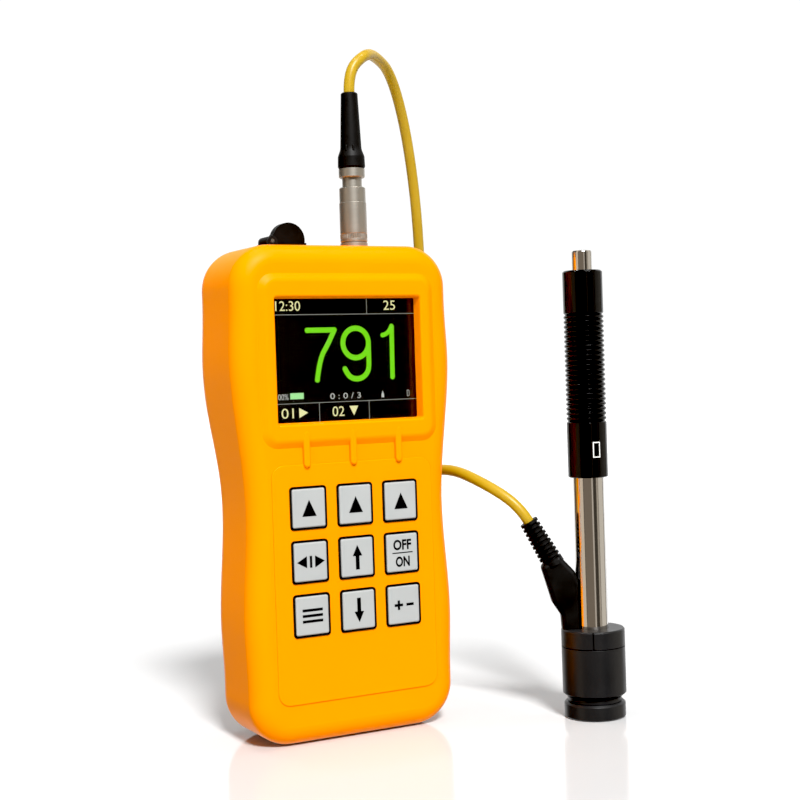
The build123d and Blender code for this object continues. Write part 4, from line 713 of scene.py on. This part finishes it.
# Port cover: a soft black moulding with a round finger tab, that swings on a
# steel pin. Its anchor and the trim round the display are hard black ABS.
soft_black, surface = new_finish(
    "thermoplastic rubber, black", {"IOR": 1.45, "Specular IOR Level": 0.25}, "#0B0A0A"
)
place = add_node(soft_black, "ShaderNodeTexCoord")
dust = add_node(
    soft_black, "ShaderNodeTexNoise", {"Scale": 180.0, "Detail": 4.0}, {"Vector": place.outputs["Object"]}
)
tone = add_node(
    soft_black,
    "ShaderNodeMix",
    {"data_type": "RGBA", 6: linear("#0B0A0A"), 7: linear("#141312")},
    {0: dust.outputs["Fac"]},
)
feed(soft_black, tone.outputs[2], surface.inputs["Base Color"])
rub = add_node(
    soft_black,
    "ShaderNodeMapRange",
    {"From Min": 0.3, "From Max": 0.7, "To Min": 0.42, "To Max": 0.6},
    {"Value": dust.outputs["Fac"]},
)
feed(soft_black, rub.outputs["Result"], surface.inputs["Roughness"])
grain = add_node(
    soft_black, "ShaderNodeTexNoise", {"Scale": 2200.0, "Detail": 2.0}, {"Vector": place.outputs["Object"]}
)
relief = add_node(
    soft_black, "ShaderNodeBump", {"Strength": 0.25, "Distance": 0.00008}, {"Height": grain.outputs["Fac"]}
)
feed(soft_black, relief.outputs["Normal"], surface.inputs["Normal"])
dress(soft_black, "port_cover", "cable_boot", "plug_relief")

hard_black, surface = new_finish("ABS moulding, black", {"IOR": 1.53, "Specular IOR Level": 0.35}, "#0E0E0E")
place = add_node(hard_black, "ShaderNodeTexCoord")
cloud = add_node(
    hard_black, "ShaderNodeTexNoise", {"Scale": 150.0, "Detail": 3.0}, {"Vector": place.outputs["Object"]}
)
rub = add_node(
    hard_black,
    "ShaderNodeMapRange",
    {"From Min": 0.3, "From Max": 0.7, "To Min": 0.4, "To Max": 0.55},
    {"Value": cloud.outputs["Fac"]},
)
feed(hard_black, rub.outputs["Result"], surface.inputs["Roughness"])
dress(
    hard_black, "display_frame", "cover_anchor", "socket_insert", "plug_insert", "coil_bobbin",
    "key_switches",
)

# Plug: turned brass parts in satin nickel, with a sleeve that slides back to
# unlock, a clamping nut and a moulded strain relief.
nickel, surface = new_finish("brass, satin nickel plated", {"Metallic": 1.0}, "#B8B4AB")
place = add_node(nickel, "ShaderNodeTexCoord")
# turning marks run round the parts: noise squeezed along the axis to 0.15 mm
lathe = add_node(
    nickel, "ShaderNodeMapping", {"Scale": (60.0, 60.0, 6500.0)}, {"Vector": place.outputs["Object"]}
)
marks = add_node(
    nickel, "ShaderNodeTexNoise", {"Scale": 1.0, "Detail": 2.0}, {"Vector": lathe.outputs["Vector"]}
)
relief = add_node(
    nickel, "ShaderNodeBump", {"Strength": 0.03, "Distance": 0.00002}, {"Height": marks.outputs["Fac"]}
)
feed(nickel, relief.outputs["Normal"], surface.inputs["Normal"])
haze = add_node(
    nickel,
    "ShaderNodeMapRange",
    {"From Min": 0.3, "From Max": 0.7, "To Min": 0.44, "To Max": 0.5},
    {"Value": marks.outputs["Fac"]},
)
feed(nickel, haze.outputs["Result"], surface.inputs["Roughness"])
dress(
    nickel, "plug_body", "plug_sleeve", "plug_nut", "probe_socket", "socket_nut", "usb_socket",
    "battery_plates",
)

# Grip ring of the sleeve: a band of fine straight knurls rolled into the
# recess near its foot.
plug_x, knurl_low, knurl_high = 0.0112, 0.1562, 0.1576
knurl_crest, knurl_root, knurl_corners = 0.00434, 0.00416, 96
bpy.ops.object.select_all(action="DESELECT")
bpy.ops.mesh.primitive_cylinder_add(
    vertices=knurl_corners,
    radius=knurl_crest,
    depth=knurl_high - knurl_low,
    end_fill_type="NGON",
    location=(plug_x, 0, (knurl_low + knurl_high) / 2),
)
knurl = bpy.context.object
knurl.name = "plug_sleeve_knurl"
bpy.ops.object.transform_apply(location=True, rotation=True, scale=True)
for v in knurl.data.vertices:
    spoke = Vector((v.co.x - plug_x, v.co.y))
    crest = round(spoke.angle_signed(Vector((1, 0))) / (2 * pi) * knurl_corners) % 2
    spoke = spoke.normalized() * (knurl_crest if crest else knurl_root)
    v.co.x, v.co.y = plug_x + spoke.x, spoke.y
knurl.data.materials.append(nickel)
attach(knurl, "sleeve")

# Strain relief of the plug: two small pads stand out at its waist, moulded
# with it, where it is held while the nut is tightened.
relief_waist, pads_level, pads_turn = 0.0034, 0.1850, radians(-28)
pads = []
for sideways in (-0.0014, 0.0009):
    bpy.ops.object.select_all(action="DESELECT")
    bpy.ops.mesh.primitive_cube_add(size=1.0)
    pad = bpy.context.object
    pad.scale = (0.0008, 0.0010, 0.0020)
    bpy.ops.object.transform_apply(location=True, rotation=True, scale=True)
    bpy.ops.object.mode_set(mode="EDIT")
    bpy.ops.mesh.select_all(action="SELECT")
    bpy.ops.mesh.bevel(offset=0.0003, segments=4, affect="EDGES")
    bpy.ops.object.mode_set(mode="OBJECT")
    out = (relief_waist**2 - sideways**2) ** 0.5
    pad.rotation_euler = (0, 0, pads_turn)
    pad.location = (
        plug_x + sideways * cos(pads_turn) + out * sin(pads_turn),
        sideways * sin(pads_turn) - out * cos(pads_turn),
        pads_level,
    )
    bpy.ops.object.transform_apply(location=True, rotation=True, scale=True)
    pads.append(pad)
bpy.ops.object.select_all(action="DESELECT")
for pad in pads:
    pad.select_set(True)
bpy.context.view_layer.objects.active = pads[0]
bpy.ops.object.join()
relief_pads = bpy.context.object
relief_pads.name = "plug_relief_pads"
relief_pads.data.materials.append(soft_black)
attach(relief_pads, "base")

# Impact device: black anodised aluminium, turned and lightly bead blasted, on
# a hard-chromed guide tube with a fine ground surface.
anodised, surface = new_finish(
    "aluminium, black anodised, turned", {"IOR": 1.6, "Specular IOR Level": 0.3}, "#1D1D1E"
)
place = add_node(anodised, "ShaderNodeTexCoord")
# the tool's marks round the axis, drawn at about 0.2 mm
lathe = add_node(
    anodised, "ShaderNodeMapping", {"Scale": (80.0, 80.0, 5000.0)}, {"Vector": place.outputs["Object"]}
)
marks = add_node(
    anodised, "ShaderNodeTexNoise", {"Scale": 1.0, "Detail": 3.0}, {"Vector": lathe.outputs["Vector"]}
)
# the turned edges are broken by about 0.15 mm
edges = add_node(anodised, "ShaderNodeBevel", {"samples": 6, "Radius": 0.00015})
relief = add_node(
    anodised,
    "ShaderNodeBump",
    {"Strength": 0.06, "Distance": 0.00003},
    {"Height": marks.outputs["Fac"], "Normal": edges.outputs["Normal"]},
)
feed(anodised, relief.outputs["Normal"], surface.inputs["Normal"])
handled = add_node(
    anodised, "ShaderNodeTexNoise", {"Scale": 110.0, "Detail": 4.0}, {"Vector": place.outputs["Object"]}
)
rub = add_node(
    anodised,
    "ShaderNodeMapRange",
    {"From Min": 0.3, "From Max": 0.7, "To Min": 0.3, "To Max": 0.4},
    {"Value": handled.outputs["Fac"]},
)
feed(anodised, rub.outputs["Result"], surface.inputs["Roughness"])
tone = add_node(
    anodised,
    "ShaderNodeMix",
    {"data_type": "RGBA", 6: linear("#1A1A1B"), 7: linear("#202021")},
    {0: handled.outputs["Fac"]},
)
feed(anodised, tone.outputs[2], surface.inputs["Base Color"])
dress(anodised, "support_ring", "coil_housing", "housing_cap")
# the loading tube isn't blasted, so it is shinier and blacker
bright_anodised = anodised.copy()
bright_anodised.name = "aluminium, black anodised, polished"
for node, socket, value in (
    (rub, "To Min", 0.12),
    (rub, "To Max", 0.2),
    (tone, 6, linear("#050506")),
    (tone, 7, linear("#0A0A0B")),
):
    bright_anodised.node_tree.nodes[node.name].inputs[socket].default_value = value
dress(bright_anodised, "loading_tube")

chrome, surface = new_finish("steel, hard chromed and ground", {"Metallic": 1.0}, "#E4E2DE")
place = add_node(chrome, "ShaderNodeTexCoord")
# the grinding runs round the tube, in lines too fine to see, so drawn at 0.3 mm
ground = add_node(
    chrome, "ShaderNodeMapping", {"Scale": (40.0, 40.0, 3300.0)}, {"Vector": place.outputs["Object"]}
)
marks = add_node(
    chrome, "ShaderNodeTexNoise", {"Scale": 1.0, "Detail": 2.0}, {"Vector": ground.outputs["Vector"]}
)
relief = add_node(
    chrome, "ShaderNodeBump", {"Strength": 0.05, "Distance": 0.00002}, {"Height": marks.outputs["Fac"]}
)
feed(chrome, relief.outputs["Normal"], surface.inputs["Normal"])
haze = add_node(
    chrome,
    "ShaderNodeMapRange",
    {"From Min": 0.3, "From Max": 0.7, "To Min": 0.07, "To Max": 0.14},
    {"Value": marks.outputs["Fac"]},
)
feed(chrome, haze.outputs["Result"], surface.inputs["Roughness"])
dress(chrome, "guide_tube", "release_button")

# Direction mark: a small outlined rectangle in white paint on the collar of
# the loading tube, which follows the tube's round surface.
tube_radius, mark_bearing, half_arc = 0.0064, radians(27.6), 11.4
mark_low, mark_high, mark_line = 83.6, 88.6, 0.35
# the line's width in degrees round the tube
arc_line = mark_line / 6.4 * 57.3
bpy.ops.object.select_all(action="DESELECT")
# drawn flat first, with degrees round the tube in place of millimetres across
mark_parts = [
    bar(-half_arc, half_arc, mark_high - mark_line, mark_high),
    bar(-half_arc, half_arc, mark_low, mark_low + mark_line),
    bar(-half_arc, -half_arc + arc_line, mark_low, mark_high),
    bar(half_arc - arc_line, half_arc, mark_low, mark_high),
]
for part in mark_parts:
    bpy.ops.object.select_all(action="DESELECT")
    part.select_set(True)
    bpy.context.view_layer.objects.active = part
    bpy.ops.object.mode_set(mode="EDIT")
    bpy.ops.mesh.select_all(action="SELECT")
    bpy.ops.mesh.subdivide(number_cuts=8)
    bpy.ops.object.mode_set(mode="OBJECT")
mark = flat_piece(mark_parts, 0.0, 0.0)
facing = Vector((-0.585, -0.811))
across = Vector((0.811, -0.585))
for v in mark.data.vertices:
    turn = mark_bearing + radians(v.co.x * 1000)
    out = facing * cos(turn) + across * sin(turn)
    v.co.x = device_x + out.x * (tube_radius + 0.00002)
    v.co.y = device_y + out.y * (tube_radius + 0.00002)
mark.name = "loading_tube_mark"
paint, surface = new_finish("white marking paint", {"IOR": 1.5}, "#DCDCD8")
place = add_node(paint, "ShaderNodeTexCoord")
worn = add_node(
    paint, "ShaderNodeTexNoise", {"Scale": 1500.0, "Detail": 3.0}, {"Vector": place.outputs["Object"]}
)
tone = add_node(
    paint,
    "ShaderNodeMix",
    {"data_type": "RGBA", 6: linear("#C8C8C4"), 7: linear("#F0F0EC")},
    {0: worn.outputs["Fac"]},
)
feed(paint, tone.outputs[2], surface.inputs["Base Color"])
mark.data.materials.append(paint)
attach(mark, "loading")

# Steel parts inside and the screws: turned or drawn steel, lightly oiled.
steel, surface = new_finish("steel, fine turned", {"Metallic": 1.0}, "#C6C3BC")
place = add_node(steel, "ShaderNodeTexCoord")
lathe = add_node(
    steel, "ShaderNodeMapping", {"Scale": (100.0, 100.0, 4000.0)}, {"Vector": place.outputs["Object"]}
)
marks = add_node(
    steel, "ShaderNodeTexNoise", {"Scale": 1.0, "Detail": 2.0}, {"Vector": lathe.outputs["Vector"]}
)
haze = add_node(
    steel,
    "ShaderNodeMapRange",
    {"From Min": 0.3, "From Max": 0.7, "To Min": 0.18, "To Max": 0.34},
    {"Value": marks.outputs["Fac"]},
)
feed(steel, haze.outputs["Result"], surface.inputs["Roughness"])
dress(
    steel, "catch_chuck", "impact_body", "ball_holder", "impact_ball", "impact_magnet", "loading_spring",
    "release_spring", "impact_spring", "battery_springs", "board_screws", "case_screws",
    "battery_door_screw", "cover_pin",
)

# Windings, board and cells, inside the cases: enamelled copper wire, a green
# glass fibre board with black parts, and two cells in printed film.
copper, surface = new_finish("copper winding wire, enamelled", {"Metallic": 1.0, "Roughness": 0.3}, "#B5653A")
place = add_node(copper, "ShaderNodeTexCoord")
# turns of 0.12 mm wire, drawn at 0.4 mm
turns = add_node(
    copper, "ShaderNodeTexWave", {"bands_direction": "Z", "Scale": 400.0}, {"Vector": place.outputs["Object"]}
)
relief = add_node(
    copper, "ShaderNodeBump", {"Strength": 0.5, "Distance": 0.0001}, {"Height": turns.outputs["Fac"]}
)
feed(copper, relief.outputs["Normal"], surface.inputs["Normal"])
dress(copper, "pickup_coil")
mask, surface = new_finish("glass fibre board, green solder mask", {"Roughness": 0.35}, "#12532C")
place = add_node(mask, "ShaderNodeTexCoord")
tracks = add_node(
    mask, "ShaderNodeTexBrick",
    {
        "Scale": 300.0, "Color1": linear("#12532C"), "Color2": linear("#15602F"),
        "Mortar": linear("#0D4021"), "Mortar Size": 0.04,
    },
    {"Vector": place.outputs["Object"]},
)
feed(mask, tracks.outputs["Color"], surface.inputs["Base Color"])
dress(mask, "main_board")
epoxy, surface = new_finish("chip epoxy, black", {"Roughness": 0.6}, "#1C1C1C")
place = add_node(epoxy, "ShaderNodeTexCoord")
grain = add_node(epoxy, "ShaderNodeTexNoise", {"Scale": 4000.0}, {"Vector": place.outputs["Object"]})
relief = add_node(
    epoxy, "ShaderNodeBump", {"Strength": 0.3, "Distance": 0.00005}, {"Height": grain.outputs["Fac"]}
)
feed(epoxy, relief.outputs["Normal"], surface.inputs["Normal"])
dress(epoxy, "board_chips")
film, surface = new_finish("printed shrink film", {"Roughness": 0.3, "IOR": 1.54}, "#1C2733")
place = add_node(film, "ShaderNodeTexCoord")
height = add_node(film, "ShaderNodeSeparateXYZ", {}, {"Vector": place.outputs["Object"]})
ends = add_node(
    film, "ShaderNodeMapRange", {"From Min": 0.0575, "From Max": 0.058}, {"Value": height.outputs["Z"]}
)
tone = add_node(
    film,
    "ShaderNodeMix",
    {"data_type": "RGBA", 6: linear("#1C2733"), 7: linear("#B98A3C")},
    {0: ends.outputs["Result"]},
)
feed(film, tone.outputs[2], surface.inputs["Base Color"])
dress(film, "battery_left", "battery_right")

# Coil tie: a strip of black hook-and-loop tape round the put-away cable.
tape, surface = new_finish(
    "nylon hook-and-loop tape, woven",
    {"Roughness": 0.85, "Sheen Weight": 0.4, "Sheen Roughness": 0.5},
    "#18181A",
)
place = add_node(tape, "ShaderNodeTexCoord")
# the loops, drawn at 0.5 mm
loops = add_node(tape, "ShaderNodeTexVoronoi", {"Scale": 2000.0}, {"Vector": place.outputs["Object"]})
relief = add_node(
    tape, "ShaderNodeBump", {"Strength": 0.6, "Distance": 0.0002}, {"Height": loops.outputs["Distance"]}
)
feed(tape, relief.outputs["Normal"], surface.inputs["Normal"])
dress(tape, "coil_tie")

low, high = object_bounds()
